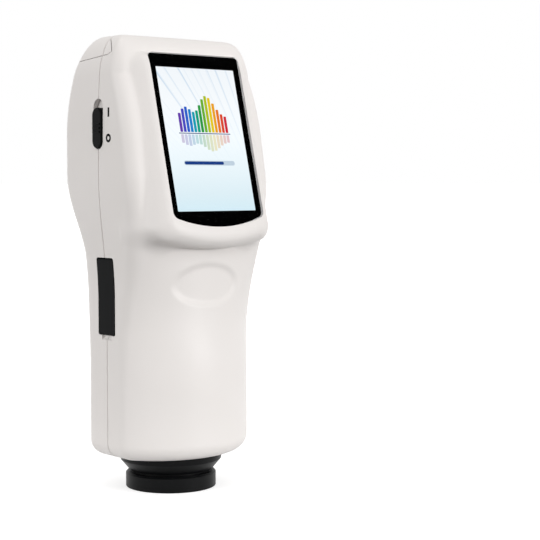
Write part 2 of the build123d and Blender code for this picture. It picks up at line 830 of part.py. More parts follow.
# Nose: a black cone whose flange is screwed against the inside of the foot
flange_z = foot_z + wall
flange_top = flange_z + 2.8
cone_bore = sphere_radius + sphere_wall + 1.2
with BuildPart() as port_cone:
    with BuildSketch(Plane.XZ) as cone_profile:
        with BuildLine():
            Polyline(
                (neck_radius, nose_z),
                (neck_radius, neck_top),
                (neck_radius + 1.9, neck_top),
                (cone_radius - 0.6, cone_knee_z),
                (cone_radius, foot_z),
                (cone_radius, flange_top),
                (cone_bore, flange_top),
                (cone_bore, cone_knee_z),
                (neck_radius - wall, neck_top - 0.6),
                (neck_radius - wall, nose_z + 2.5),
                (aperture_ring_radius - 2.5, nose_z + 2.5),
                (aperture_ring_radius - 2.5, nose_z + 1.2),
                (aperture_ring_radius + 0.15, nose_z + 1.2),
                (aperture_ring_radius + 0.15, nose_z),
                close=True,
            )
        make_face()
        # groove for the ring that grips the cap
        with Locations((neck_radius, nose_z + 3.0)):
            Rectangle(2 * groove_depth, 1.9, mode=Mode.SUBTRACT)
    revolve(axis=Axis.Z)
    with BuildSketch(Plane.XY.offset(flange_z)):
        add(housing_face(foot_z + foot_height, foot_inset - 0.25 * wall + 0.1))
        Circle(cone_radius - 0.1, mode=Mode.SUBTRACT)
    extrude(amount=flange_top - flange_z)
    with BuildSketch(Plane.XY.offset(flange_z)):
        with GridLocations(2 * foot_screw_x, 2 * foot_screw_y, 2, 2):
            Circle(foot_screw_radius + 0.05)
    extrude(amount=5, mode=Mode.SUBTRACT)

port_cone.part.label = "port_cone"
export_step(port_cone.part, "parts/port_cone.step")

with BuildPart() as cap_grip_ring:
    with BuildSketch(Plane.XZ):
        with Locations((neck_radius - groove_depth + 0.67, nose_z + 3.0)):
            Circle(0.67)
    revolve(axis=Axis.Z)

cap_grip_ring.part.label = "cap_grip_ring"
export_step(cap_grip_ring.part, "parts/cap_grip_ring.step")

with BuildPart() as foot_screws:
    with GridLocations(2 * foot_screw_x, 2 * foot_screw_y, 2, 2):
        with Locations((0, 0, foot_z + 0.6)):
            Cylinder(foot_screw_radius + 0.9, 1.2)
        with Locations((0, 0, (foot_z + flange_top) / 2 + 0.6)):
            Cylinder(foot_screw_radius, flange_top - foot_z - 1.2)

foot_screws.part.label = "foot_screws"
export_step(foot_screws.part, "parts/foot_screws.step")

with BuildPart() as rear_screws:
    for side in (-1, 1):
        with Locations((side * rear_screw_x, rear_head_y + 0.9, rear_screw_z)):
            Cylinder(rear_screw_radius + 1.1, 1.8, rotation=(90, 0, 0))
        with Locations((side * rear_screw_x, (rear_head_y - 10) / 2, rear_screw_z)):
            Cylinder(rear_screw_radius, rear_head_y + 10, rotation=(90, 0, 0))

rear_screws.part.label = "rear_screws"
export_step(rear_screws.part, "parts/rear_screws.step")

with BuildPart() as aperture_ring:
    with BuildSketch(Plane.XZ):
        with BuildLine():
            Polyline(
                (aperture_radius, nose_z - 0.2),
                (aperture_ring_radius, nose_z - 0.2),
                (aperture_ring_radius, nose_z + 1.2),
                (aperture_radius + 1.8, nose_z + 1.2),
                (aperture_radius + 1.8, nose_z + 2.0),
                (aperture_radius, nose_z + 2.0),
                close=True,
            )
        make_face()
    revolve(axis=Axis.Z)

aperture_ring.part.label = "aperture_ring"
export_step(aperture_ring.part, "parts/aperture_ring.step")

# Integrating sphere in two halves, each with an equator flange
outer_sphere = sphere_radius + sphere_wall
sphere_flange = outer_sphere + 6.6
sphere_flange_thickness = sphere_z - flange_top
leg_x = 21.0
leg_y = 15.5
leg_radius = 2.2
lamp_board_z = sphere_z + 15.5
tube_radius = 3.6
tube_x = 6.0
with BuildPart() as sphere_lower:
    with Locations((0, 0, sphere_z)):
        Sphere(outer_sphere)
    with BuildSketch(Plane.XY.offset(flange_top)):
        Circle(sphere_flange)
    extrude(amount=sphere_flange_thickness)
    with Locations((0, 0, sphere_z)):
        Sphere(sphere_radius, mode=Mode.SUBTRACT)
    with Locations((0, 0, sphere_z + 40)):
        Box(80, 80, 80, mode=Mode.SUBTRACT)
    with Locations((0, 0, sphere_z - outer_sphere)):
        Cylinder(aperture_radius + 2.2, 10, mode=Mode.SUBTRACT)

sphere_lower.part.label = "sphere_lower"
export_step(sphere_lower.part, "parts/sphere_lower.step")

with BuildPart() as sphere_upper:
    with Locations((0, 0, sphere_z)):
        Sphere(outer_sphere)
    with BuildSketch(Plane.XY.offset(sphere_z)):
        Circle(sphere_flange)
    extrude(amount=sphere_flange_thickness)
    with Locations((0, 0, sphere_z)):
        Sphere(sphere_radius, mode=Mode.SUBTRACT)
    with Locations((0, 0, sphere_z - 40)):
        Box(80, 80, 80, mode=Mode.SUBTRACT)
    # posts for the lamp board
    with BuildSketch(Plane.XY.offset(sphere_z + sphere_flange_thickness)):
        with PolarLocations(outer_sphere + 3.6, 4):
            Circle(1.8)
    extrude(amount=lamp_board_z - sphere_z - sphere_flange_thickness)
    # lamp windows and the viewing port
    with PolarLocations(15.4, 6, start_angle=30):
        with Locations((0, 0, sphere_z + 15)):
            Cylinder(1.6, 14, mode=Mode.SUBTRACT)
    with Locations((tube_x, 0, sphere_z + outer_sphere)):
        Cylinder(tube_radius + 0.2, 12, mode=Mode.SUBTRACT)

sphere_upper.part.label = "sphere_upper"
export_step(sphere_upper.part, "parts/sphere_upper.step")

with BuildPart() as lamp_board:
    with BuildSketch(Plane.XY.offset(lamp_board_z)):
        Circle(outer_sphere + 6.0)
        Circle(16.2, mode=Mode.SUBTRACT)
        with GridLocations(2 * leg_x, 2 * leg_y, 2, 2):
            Circle(leg_radius + 0.4, mode=Mode.SUBTRACT)
    extrude(amount=board_thickness)
    with BuildSketch(Plane.XY.offset(lamp_board_z + board_thickness)):
        with PolarLocations(20.0, 6, start_angle=30):
            RectangleRounded(3.4, 3.4, 0.4)
    extrude(amount=1.2)

lamp_board.part.label = "lamp_board"
export_step(lamp_board.part, "parts/lamp_board.step")

# Bridge that stands on the sphere's flange and carries the spectrometer
frame_z = sphere_z + 25.0
frame_thickness = 3.0
with BuildPart() as optical_frame:
    with BuildSketch(Plane.XY.offset(frame_z)):
        RectangleRounded(2 * leg_x + 8, 2 * leg_y + 8, 4)
        with Locations((tube_x, 0)):
            Circle(tube_radius + 0.2, mode=Mode.SUBTRACT)
    extrude(amount=frame_thickness)
    with BuildSketch(Plane.XY.offset(sphere_z + sphere_flange_thickness)):
        with GridLocations(2 * leg_x, 2 * leg_y, 2, 2):
            Circle(leg_radius)
    extrude(amount=frame_z - sphere_z - sphere_flange_thickness)

optical_frame.part.label = "optical_frame"
export_step(optical_frame.part, "parts/optical_frame.step")

block_z = frame_z + frame_thickness
with BuildPart() as entrance_tube:
    with BuildSketch(Plane.XY.offset(block_z)):
        with Locations((tube_x, 0)):
            Circle(tube_radius + 1.8)
    extrude(amount=1.2)
    with BuildSketch(Plane.XY.offset(sphere_z + outer_sphere - 1.0)):
        with Locations((tube_x, 0)):
            Circle(tube_radius)
    extrude(amount=block_z - sphere_z - outer_sphere + 3.5)
    with BuildSketch(Plane.XY.offset(sphere_z + outer_sphere - 1.0)):
        with Locations((tube_x, 0)):
            Circle(tube_radius - 1.0)
    extrude(amount=20, mode=Mode.SUBTRACT)

entrance_tube.part.label = "entrance_tube"
export_step(entrance_tube.part, "parts/entrance_tube.step")

block_width = 44.0
block_depth = 34.0
block_height = 36.0
block_wall = 2.5
with BuildPart() as spectrometer_block:
    with Locations((0, 0, block_z + block_height / 2)):
        Box(block_width, block_depth, block_height)
    chamfer(spectrometer_block.edges().filter_by(Axis.Z), length=2.0)
    with Locations((0, -block_wall, block_z + block_height / 2)):
        Box(
            block_width - 2 * block_wall,
            block_depth,
            block_height - 2 * block_wall,
            mode=Mode.SUBTRACT,
        )
    with Locations((tube_x, 0, block_z)):
        Cylinder(tube_radius + 2.1, 2 * block_wall + 1, mode=Mode.SUBTRACT)
    # window for the line sensor
    with Locations((-9, 0, block_z + block_height)):
        Box(14, 6, 2 * block_wall + 1, mode=Mode.SUBTRACT)

spectrometer_block.part.label = "spectrometer_block"
export_step(spectrometer_block.part, "parts/spectrometer_block.step")

with BuildPart() as spectrometer_lid:
    with BuildSketch(Plane.XZ.offset(block_depth / 2)):
        with Locations((0, block_z + block_height / 2)):
            Rectangle(block_width - 4.4, block_height - 0.8)
    extrude(amount=1.5)

spectrometer_lid.part.label = "spectrometer_lid"
export_step(spectrometer_lid.part, "parts/spectrometer_lid.step")

with BuildPart() as grating:
    with Locations((-6, 0, block_z + block_wall + 3)):
        Box(12, 12, 6)
    with Locations((-6, 0, block_z + block_wall + 34)):
        Sphere(29, mode=Mode.SUBTRACT)

grating.part.label = "grating"
export_step(grating.part, "parts/grating.step")

sensor_z = block_z + block_height
with BuildPart() as sensor_board:
    with BuildSketch(Plane.XY.offset(sensor_z)):
        RectangleRounded(40, 30, 2)
    extrude(amount=board_thickness)
    # line sensor that looks down through the block's window
    with Locations((-9, 0, sensor_z - 0.9)):
        Box(13, 5, 1.8)
    with Locations((11, 0, sensor_z + board_thickness + 0.7)):
        Box(8, 8, 1.4)
    with Locations((-10, 8, sensor_z + board_thickness + 1.4)):
        Box(10, 4, 2.8)

sensor_board.part.label = "sensor_board"
export_step(sensor_board.part, "parts/sensor_board.step")

# Calibration cap with its white tile
with BuildPart() as calibration_cap:
    Cylinder(cap_radius, cap_height, align=(Align.CENTER, Align.CENTER, Align.MIN))
    chamfer(calibration_cap.faces().sort_by(Axis.Z)[-1].edges(), length=0.8)
    fillet(calibration_cap.faces().sort_by(Axis.Z)[0].edges(), radius=0.6)
    with Locations((0, 0, cap_floor)):
        Cylinder(
            neck_radius - 3.0,
            cap_height,
            align=(Align.CENTER, Align.CENTER, Align.MIN),
            mode=Mode.SUBTRACT,
        )
    with Locations((0, 0, nose_z)):
        Cylinder(
            neck_radius + fit_gap,
            cap_height,
            align=(Align.CENTER, Align.CENTER, Align.MIN),
            mode=Mode.SUBTRACT,
        )
    with Locations((0, 0, cap_floor - tile_thickness + 0.1)):
        Cylinder(tile_radius + 0.1, 5, align=(Align.CENTER, Align.CENTER, Align.MIN), mode=Mode.SUBTRACT)

calibration_cap.part.label = "calibration_cap"
export_step(calibration_cap.part, "parts/calibration_cap.step")

with BuildPart() as calibration_tile:
    with Locations((0, 0, cap_floor - tile_thickness + 0.1)):
        Cylinder(tile_radius, tile_thickness, align=(Align.CENTER, Align.CENTER, Align.MIN))
    chamfer(calibration_tile.faces().sort_by(Axis.Z)[-1].edges(), length=0.2)

calibration_tile.part.label = "calibration_tile"
export_step(calibration_tile.part, "parts/calibration_tile.step")
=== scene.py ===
# %% [markdown]
# # A handheld color meter
# The real object reads the colour of a surface. Two moulded half shells make its housing, a lit screen leans
# back at the top, and a black nose stands in a round calibration cap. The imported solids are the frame: they give
# every place and every moving body. They could simply be painted, but their facets and sharp joins would show.
# So this lesson makes the housing again as smooth skins from formulas, and adds the screen's picture, the seams
# and the printed marks. Lengths in the formulas are millimetres, and the meshes are metres.

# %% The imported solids
import math
import bpy
import bmesh
import numpy as np
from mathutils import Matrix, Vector


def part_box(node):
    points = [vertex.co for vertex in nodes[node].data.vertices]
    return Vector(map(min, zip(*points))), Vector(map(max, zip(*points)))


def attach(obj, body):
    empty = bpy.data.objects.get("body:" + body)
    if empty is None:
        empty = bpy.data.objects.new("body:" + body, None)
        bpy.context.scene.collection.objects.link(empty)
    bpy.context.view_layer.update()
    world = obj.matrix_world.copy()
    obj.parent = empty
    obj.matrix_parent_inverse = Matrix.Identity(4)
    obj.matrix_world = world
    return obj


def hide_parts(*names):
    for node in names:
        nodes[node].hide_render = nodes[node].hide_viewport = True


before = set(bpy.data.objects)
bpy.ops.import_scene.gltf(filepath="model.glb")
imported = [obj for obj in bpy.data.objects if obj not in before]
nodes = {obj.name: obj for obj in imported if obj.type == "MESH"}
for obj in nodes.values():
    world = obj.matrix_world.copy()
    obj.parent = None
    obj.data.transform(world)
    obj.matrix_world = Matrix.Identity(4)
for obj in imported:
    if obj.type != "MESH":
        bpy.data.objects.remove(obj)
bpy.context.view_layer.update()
MM = 0.001

# %% [markdown]
# ## The camera
# The picture is taken from the front left, a little above the meter's middle, with a slight look down. A camera
# could be turned by eye until the picture fits. Here its place was worked out from the corners of the screen,
# whose size is known, so that a render can be laid over the picture. A 100 mm lens on a 36 mm square sensor
# gives 1500 pixels of focal length on 540 pixels.

# %% Camera
EYE = Vector((-463.645, -622.111, 159.471)) * MM
LOOK = Vector((0.648398, 0.758842, -0.061144))
camera = bpy.data.objects.new("camera", bpy.data.cameras.new("camera"))
bpy.context.scene.collection.objects.link(camera)
camera.location = EYE
camera.rotation_euler = LOOK.to_track_quat("-Z", "Y").to_euler()
camera.data.lens = 100
camera.data.sensor_width = 36
camera.data.sensor_fit = "HORIZONTAL"
camera.data.clip_start = 0.01
bpy.context.scene.camera = camera
print("camera: distance in mm", round(EYE.length / MM), "elevation", round(math.degrees(math.asin(-LOOK.z)), 1))

# %% [markdown]
# ## Colours and nodes
# A material in Blender is a small net of nodes. It can be clicked together, but a net that is written out can be
# read again. Two helpers are enough for every net below. One changes a colour as a screen shows it to the linear
# light that a shader works with. The other adds a node with its settings and its links.

# %% Helpers for colours and nodes


def linear(code):
    """Linear colour of an sRGB hex code: c / 12.92 up to 0.04045, else ((c + 0.055) / 1.055) ** 2.4."""
    parts = [int(code[i : i + 2], 16) / 255 for i in (0, 2, 4)]
    return [c / 12.92 if c <= 0.04045 else ((c + 0.055) / 1.055) ** 2.4 for c in parts] + [1.0]


def add(tree, kind, sockets, **settings):
    """Adds one node: settings are its own properties, and each socket gets a value or another node's output."""
    made = tree.nodes.new("ShaderNode" + kind)
    for name, value in settings.items():
        setattr(made, name, value)
    for socket, value in sockets.items():
        if isinstance(value, bpy.types.NodeSocket):
            tree.links.new(value, made.inputs[socket])
        else:
            made.inputs[socket].default_value = value
    return made


def start_material(name):
    """New material with its node tree and its Principled shader."""
    made = bpy.data.materials.new(name)
    made.use_nodes = True
    return made, made.node_tree, made.node_tree.nodes["Principled BSDF"]


print("linear value of a mid grey, 808080:", round(linear("808080")[0], 3))

# %% [markdown]
# ## Moulded plastic and rubber
# The housing, the key, the nose and most inner parts are moulded in steel tools. Sparks erode the tool to a fine
# satin grain, and the plastic copies it, while its gloss and colour drift a little from place to place. One flat
# colour would look like a drawing. So slow noise, with waves about 29 mm wide, mixes two near colours and
# moves the roughness, and fine noise makes a bump. The real grain is about 0.05 mm wide, too fine for the
# picture, so it is drawn 2/3 mm wide.

# %% Recipe for moulded surfaces
DRIFT_WIDE = 1000 / 35  # mm from one slow wave to the next, so that 35 fit in a metre
NOISE_LOW, NOISE_HIGH = 0.3, 0.7  # noise mostly lies between these


def colour_and_gloss(tree, shader, pattern, colours, rough, swing):
    """A pattern leads the colour from the first tone to the second, and the roughness from rough - swing to
    rough + swing."""
    tones = {"Factor": pattern, "A": linear(colours[0]), "B": linear(colours[1])}
    gloss = {"Value": pattern, "From Min": NOISE_LOW, "From Max": NOISE_HIGH}
    gloss.update({"To Min": rough - swing, "To Max": rough + swing})
    tree.links.new(add(tree, "Mix", tones, data_type="RGBA").outputs["Result"], shader.inputs["Base Color"])
    tree.links.new(add(tree, "MapRange", gloss).outputs["Result"], shader.inputs["Roughness"])


def moulded(name, colours, rough, grain=2 / 3, depth=0.01, shine=0.5):
    """Slow noise leads colour and gloss, and noise as wide as the grain makes bumps of the given depth, both in
    mm. The IOR stays at 1.5, as plastics have, and shine is the strength of the clear reflection, 0.5 for most."""
    made, tree, shader = start_material(name)
    place = add(tree, "TexCoord", {}).outputs["Object"]
    wide = add(tree, "Mapping", {"Vector": place, "Scale": [1 / (DRIFT_WIDE * MM)] * 3}).outputs["Vector"]
    fine = add(tree, "Mapping", {"Vector": place, "Scale": [1 / (grain * MM)] * 3}).outputs["Vector"]
    drift = add(tree, "TexNoise", {"Vector": wide, "Scale": 1.0, "Detail": 2.0}).outputs["Fac"]
    grains = add(tree, "TexNoise", {"Vector": fine, "Scale": 1.0, "Detail": 2.0}).outputs["Fac"]
    colour_and_gloss(tree, shader, drift, colours, rough, 0.04)
    raised = add(tree, "Bump", {"Height": grains, "Strength": 0.3, "Distance": depth * MM})
    tree.links.new(raised.outputs["Normal"], shader.inputs["Normal"])
    shader.inputs["Specular IOR Level"].default_value = shine
    print("material:", name, "grain", round(grain, 2), "mm, roughness", rough)
    return made


print("colour and gloss drift over", round(DRIFT_WIDE, 1), "mm")

# %% Housing and key
# ABS moulded in a spark-eroded tool: a warm off-white satin that shows soft, wide highlights
moulded_abs = moulded("moulded_abs", ("f1edeb", "eeeae7"), 0.44, shine=0.4)
# the same plastic in a creamier colour, for the key and its ring
moulded_key_abs = moulded("moulded_key_abs", ("dedad0", "d8d3c8"), 0.42)

# %% Black parts
# black ABS: nearly no reflection, so that the nose and the cap stay deep black in front of white
moulded_black_abs = moulded("moulded_black_abs", ("090a0b", "0e0f10"), 0.36, depth=0.02, shine=0.09)
# glass-filled nylon, for the switch's slider: darker and duller than ABS
moulded_nylon = moulded("moulded_nylon", ("050606", "090a0a"), 0.45, depth=0.02, shine=0.05)
# moulded rubber: dull, with highlights so wide that only its edges catch light
moulded_rubber = moulded("moulded_rubber", ("060708", "0b0c0d"), 0.5, depth=0.02, shine=0.05)

# %% Inks
# ink printed behind the glass: a black that gives no highlight of its own
printed_black = moulded("printed_black", ("010101", "020202"), 0.4, depth=0.002, shine=0.0)
# ink stamped on the side, beside the switch: a shade lighter, because it lies on a satin ground
stamped_black = moulded("stamped_black", ("101011", "161617"), 0.55, shine=0.05)

# %% Inner parts and the tile
# grey ABS of the battery tray and the display's frame
moulded_grey_abs = moulded("moulded_grey_abs", ("4b4b4d", "525254"), 0.5)
# solder resist, a green enamel that is poured on circuit boards, with waves as wide as the copper below it
poured_solder_resist = moulded("poured_solder_resist", ("11402a", "165034"), 0.32, grain=5 / 3)
# PVC film shrunk round the cells: glossy, with wide shallow ripples
shrunk_pvc = moulded("shrunk_pvc", ("27406b", "2d4877"), 0.28, grain=10 / 3)
# polyimide film of the display's flat cable: amber and smooth
cast_polyimide = moulded("cast_polyimide", ("8b5618", "9c641f"), 0.3)
# sintered PTFE of the measuring sphere: a chalky white without highlights
sintered_ptfe = moulded("sintered_ptfe", ("f2f1ee", "ecebe7"), 0.7)
# glazed ceramic of the white tile: a sharp highlight on an even white
glazed_ceramic = moulded("glazed_ceramic", ("f2f1ec", "efeee9"), 0.12, depth=0.003)

# %% [markdown]
# ## Metals
# Screws, springs, the measuring port's ring and the optical block are metal. Turning, brushing or milling leaves
# fine lines, and light spreads across them. An anisotropic shader could do that, but lines in the noise also
# show up close, so noise is stretched along one direction. Real tool marks are about 0.02 mm apart. They are
# drawn 1/6 mm apart, and those of the ruled mirror 0.05 mm.

# %% Recipe for metals


def metal(name, colours, rough, line=(2.5, 2.5, 1 / 6)):
    """Noise stretched to the given widths in mm along X, Y and Z leads the colour, the gloss and a slight bump."""
    made, tree, shader = start_material(name)
    place = add(tree, "TexCoord", {}).outputs["Object"]
    drawn = add(tree, "Mapping", {"Vector": place, "Scale": [1 / (wide * MM) for wide in line]}).outputs["Vector"]
    marks = add(tree, "TexNoise", {"Vector": drawn, "Scale": 1.0, "Detail": 4.0}).outputs["Fac"]
    colour_and_gloss(tree, shader, marks, colours, rough, 0.07)
    raised = add(tree, "Bump", {"Height": marks, "Strength": 0.15, "Distance": 0.01 * MM})
    tree.links.new(raised.outputs["Normal"], shader.inputs["Normal"])
    shader.inputs["Metallic"].default_value = 1.0
    print("metal:", name, "roughness", rough)
    return made


# zinc on steel screws: a bluish grey between satin and bright
zinc_plated_steel = metal("zinc_plated_steel", ("9a9a9a", "b4b4b2"), 0.34)
# nickel on springs and sockets: warmer and brighter
nickel_plated_steel = metal("nickel_plated_steel", ("b8b6ae", "c9c7bf"), 0.28)
# anodised aluminium of the port's ring: an even, cool satin
anodised_aluminium = metal("anodised_aluminium", ("8e9092", "a3a5a7"), 0.35)
# milled aluminium of the optical block: darker, with the cutter's lines
milled_aluminium = metal("milled_aluminium", ("6e7174", "7d8083"), 0.42)
# aluminium on a ruled glass grating: nearly a mirror, with lines across Y
ruled_mirror = metal("ruled_mirror", ("c6cad0", "d6dae0"), 0.08, (5.0, 0.05, 5.0))

# %% [markdown]
# ## Cover glass
# The screen is covered by a polished sheet of glass that is bonded at its edge. Plain glass has an IOR of 1.5 and
# would mirror the white room over the black border. The real one is coated against reflections, and a low IOR
# gives the same deep black.

# %% Glass
coated_glass, _, shader = start_material("coated_glass")
shader.inputs["Base Color"].default_value = linear("f4f6f8")
shader.inputs["Roughness"].default_value = 0.03
shader.inputs["IOR"].default_value = 1.045
shader.inputs["Transmission Weight"].default_value = 1.0
print("glass: IOR", round(shader.inputs["IOR"].default_value, 3))

# %% [markdown]
# ## A finish for each solid
# Solids whose shape is right stay as they are and only get a material. The table lists what each is made of.

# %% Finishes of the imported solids
FINISHES = [
    (moulded_abs, "front_shell rear_shell battery_cover"),
    (moulded_key_abs, "button_ring measure_button"),
    (moulded_black_abs, "button_plunger button_switch power_switch_body port_bay dc_jack port_cone calibration_cap"),
    (moulded_nylon, "power_switch_knob"),
    (moulded_rubber, "port_cover cap_grip_ring"),
    (printed_black, "display_gasket"),
    (coated_glass, "display_glass"),
    (moulded_grey_abs, "battery_tray display_module"),
    (poured_solder_resist, "main_board button_board connector_board lamp_board sensor_board"),
    (shrunk_pvc, "battery_pack"),
    (cast_polyimide, "display_flex"),
    (sintered_ptfe, "sphere_lower sphere_upper"),
    (glazed_ceramic, "calibration_tile"),
    (zinc_plated_steel, "board_screws foot_screws rear_screws"),
    (nickel_plated_steel, "battery_contacts usb_socket"),
    (anodised_aluminium, "aperture_ring entrance_tube"),
    (milled_aluminium, "optical_frame spectrometer_block spectrometer_lid"),
    (ruled_mirror, "grating"),
]
for material, names in FINISHES:
    for name in names.split():
        nodes[name].data.materials.clear()
        nodes[name].data.materials.append(material)
print("solids with a finish:", sum(len(names.split()) for _, names in FINISHES), "of", len(nodes))

# %% [markdown]
# ## The housing's outline
# The housing is a narrow, round-fronted grip that widens to a flat-sided head. It could be lofted through drawn
# sections, but then the raised screen surround would need a seam of its own. So it is written as a function
# that is negative inside and grows outwards. Such functions can be joined with soft fillets by a simple formula.
# At each height the outline has two flat sides and two bulged arcs, with rounded corners, and its numbers are
# those of the solid model.

# %% Sizes of the housing and the screen
WALL, REAR_BULGE = 2.4, 36.3
FOOT_Z, FOOT_ROUND = 18.0, 8.0
CROWN_Z, CROWN_TOP, CROWN_ROUND = 211.0, 230.5, 10.5
HEAD_Z, LEAN_Z = 160.0, 180.0  # the head is fully formed, and starts to lean in
TILT = math.radians(14.29)
SCREEN_Y, SCREEN_Z = 31.25, 179.0
GLASS_HALF, GLASS_TOP, GLASS_SIDE, GLASS_ARC = 28.2, 43.75, 39.8, 44.85


def ease(value, start, end):
    """Smooth step: s * s * (3 - 2 s), where s runs from 0 at start to 1 at end."""
    share = np.clip((value - start) / (end - start), 0, 1)
    return share * share * (3 - 2 * share)


def section(z):
    """Half width, front bulge, front corner, rear bulge and rear corner of the housing at height z."""
    lean = np.maximum((z - LEAN_Z) / (CROWN_Z - LEAN_Z), 0) ** 2
    half = 39.6 + 4.5 * ease(z, 100, HEAD_Z) - np.minimum(lean, 1.6)
    head_front = SCREEN_Y + (SCREEN_Z - np.maximum(z, HEAD_Z)) * math.tan(TILT) - 2.2
    head_corner = 27 - (np.minimum(z, CROWN_Z) - HEAD_Z) * 0.16 - 4.8 * np.minimum(lean, 1)
    waist, into_head = ease(z, 50, 100), ease(z, 80, HEAD_Z)
    front = 36 - 4 * waist
    front = front + (head_front - front) * into_head
    front_corner = 13 + 1.4 * waist
    front_corner = front_corner + (head_corner - front_corner) * into_head
    rear = REAR_BULGE - 3.8 * lean
    rear_corner = 15 + 2.3 * ease(z, 60, 120) + 14.5 * ease(z, 118, HEAD_Z) - 6.0 * lean
    return half, front, front_corner, rear, rear_corner


for name, z in (("grip", 60.0), ("head", 179.0)):
    print(name, "half width and depths in mm:", [round(float(size), 1) for size in section(z)])

# %% [markdown]
# ### Fillets
# Where two moulded faces meet, the tool has a rounded edge. A Bevel modifier needs an edge of a mesh to work on,
# and a function has none. So three formulas round the joins: a corner between faces at about a right angle, a
# corner at any angle, and the hollow fillet between two bodies.

# %% Three fillets


def round_corner(a, b, radius):
    """Where two surfaces meet on the outside: min(-r, max(a, b)) + |(a + r, b + r)| with both parts above 0."""
    low = np.minimum(-radius, np.maximum(a, b))
    return low + np.hypot(np.maximum(a + radius, 0), np.maximum(b + radius, 0))


def filleted(a, b, cosine, radius):
    """Where two surfaces meet on the outside, with a fillet that touches both.

    a and b are the distances to the surfaces, and cosine is that of the angle between their normals. With
    A = a + r and B = b + r, the distance to the fillet is sqrt((A^2 + B^2 - 2 A B c) / (1 - c^2)) - r.
    """
    first, second = a + radius, b + radius
    around = (first**2 + second**2 - 2 * first * second * cosine) / (1 - cosine**2)
    at_corner = (first > second * cosine) & (second > first * cosine)
    return np.where(at_corner, np.sqrt(np.maximum(around, 0)) - radius, np.maximum(a, b))


def soft_join(a, b, reach):
    """Union of two shapes with a fillet between them: min(a, b) - h * h * k / 4, h = max(k - |a - b|, 0) / k."""
    share = np.maximum(reach - np.abs(a - b), 0) / reach
    return np.minimum(a, b) - share * share * reach / 4


print("a corner with a 6 mm fillet lies", round(float(round_corner(0.0, 0.0, 6.0)), 2), "mm outside the fillet")

# %% Outline of the shells


def bulged(side, half, bulge, corner, ahead, x, inset, radius):
    """One half of the outline: flat sides and an arc through both corners and the bulge, with fillets.

    An arc of half width h that rises by d has the radius (h^2 + d^2) / 2 d.
    """
    drop = bulge - corner
    arc = (half**2 + drop**2) / (2 * drop)
    return filleted(side, np.hypot(x, ahead - bulge + arc) - arc + inset, half / arc, radius)


def housing(x, y, shape_z, inset):
    """Signed distance to the outline at height shape_z, moved in by inset."""
    half, front, front_corner, rear, rear_corner = section(shape_z)
    side = np.abs(x) - half + inset
    radius = np.maximum(11.0 - 4.0 * ease(shape_z, 80, HEAD_Z) - inset, 1.5)
    ahead = bulged(side, half, front, front_corner, -y, x, inset, radius)
    behind = bulged(side, half, rear, rear_corner, y, x, inset, radius)
    return np.where(y < 0, ahead, behind)


print("the grip's front at z 60 is", round(float(housing(0.0, -45.0, 60.0, 0.0)), 1), "mm behind y -45")

# %% [markdown]
# ### The screen surround
# The glass lies in a frame that stands out from the head, and its lower end is a chin with a full, rounded lip.
# The frame could be a block with bevels, but its sides run out softly into the head. So it is a prism in the
# screen's plane, whose sides spread as an exponential towards the head. The chin's underside is a table of
# points on a quarter ellipse, because a formula in the tilted plane would be long.

# %% The chin's underside
CHIN_Z, LIP_TALL, LIP_START, LIP_DEEP = 124.4, 6.8, -37.5, 6.6
turn = np.radians(np.linspace(0, 90, 60))
lip_y = np.append(LIP_START - LIP_DEEP * np.cos(turn), -10.0)
lip_z = np.append(CHIN_Z + LIP_TALL * (1 - np.sin(turn)), CHIN_Z - 0.2)
LIP_OUT = -(lip_y + SCREEN_Y) * math.cos(TILT) + (lip_z - SCREEN_Z) * math.sin(TILT)
LIP_DOWN = -(lip_y + SCREEN_Y) * math.sin(TILT) - (lip_z - SCREEN_Z) * math.cos(TILT)
print("the lip reaches", round(float(LIP_DOWN.min()), 1), "to", round(float(LIP_DOWN.max()), 1), "mm below the axis")

# %% Surround and whole skin
FACE_OUT = 0.6  # the surround's face stands this far out of the glass's plane


def surround(x, y, z, inset):
    """The raised frame: a prism in the screen's plane whose sides spread by 11 (1 - e^(-b / 8)) mm, and by
    0.7 (1 - e^(-b / 0.3)) mm right behind the edge, at a depth b behind its face."""
    up = (y + SCREEN_Y) * math.sin(TILT) + (z - SCREEN_Z) * math.cos(TILT)
    out = -(y + SCREEN_Y) * math.cos(TILT) + (z - SCREEN_Z) * math.sin(TILT)
    back = np.maximum(FACE_OUT - out, 0)
    spread = 11.0 * (1 - np.exp(-back / 8)) + 0.7 * (1 - np.exp(-back / 0.3))
    half = GLASS_HALF + 0.6 + spread
    side = np.abs(x) - half
    top = up - GLASS_TOP - np.minimum(1.5 + spread, 3.0)
    sag = GLASS_ARC + 0.5 - GLASS_SIDE
    low = np.interp(out, LIP_OUT[::-1], LIP_DOWN[::-1])
    bottom = -up - low + sag * np.minimum(np.abs(x) / half, 1.2) ** 2
    edges = round_corner(side + inset, np.maximum(top, bottom) + inset, 6.0)
    return np.maximum(round_corner(edges, out - FACE_OUT + inset, 1.4), -22.0 - out)


def skin(x, y, z, shape_z, inset):
    """The whole housing: outline and surround joined by a fillet, less the oval thumb rest.

    The fillet is 1 mm wide, and grows to 7 mm at both ends of the chin, where the lip fades into the head.
    """
    reach = 1.0 + 6.0 * ease(np.abs(x), 14, 30) * (1 - ease(z, 126, 150))
    body = soft_join(housing(x, y, shape_z, inset), surround(x, y, z, inset), reach)
    oval = np.hypot(x / 21.4, (z - 106.2) / 11.0)
    return body + 1.1 * (1 - ease(oval, 0.78, 1.02)) * (y < 0)


rest = float(skin(0.0, -30.0, 106.2, 106.2, 0.0))
print("thumb rest: at its middle the point at y -30 lies", round(-rest, 2), "mm inside the skin")

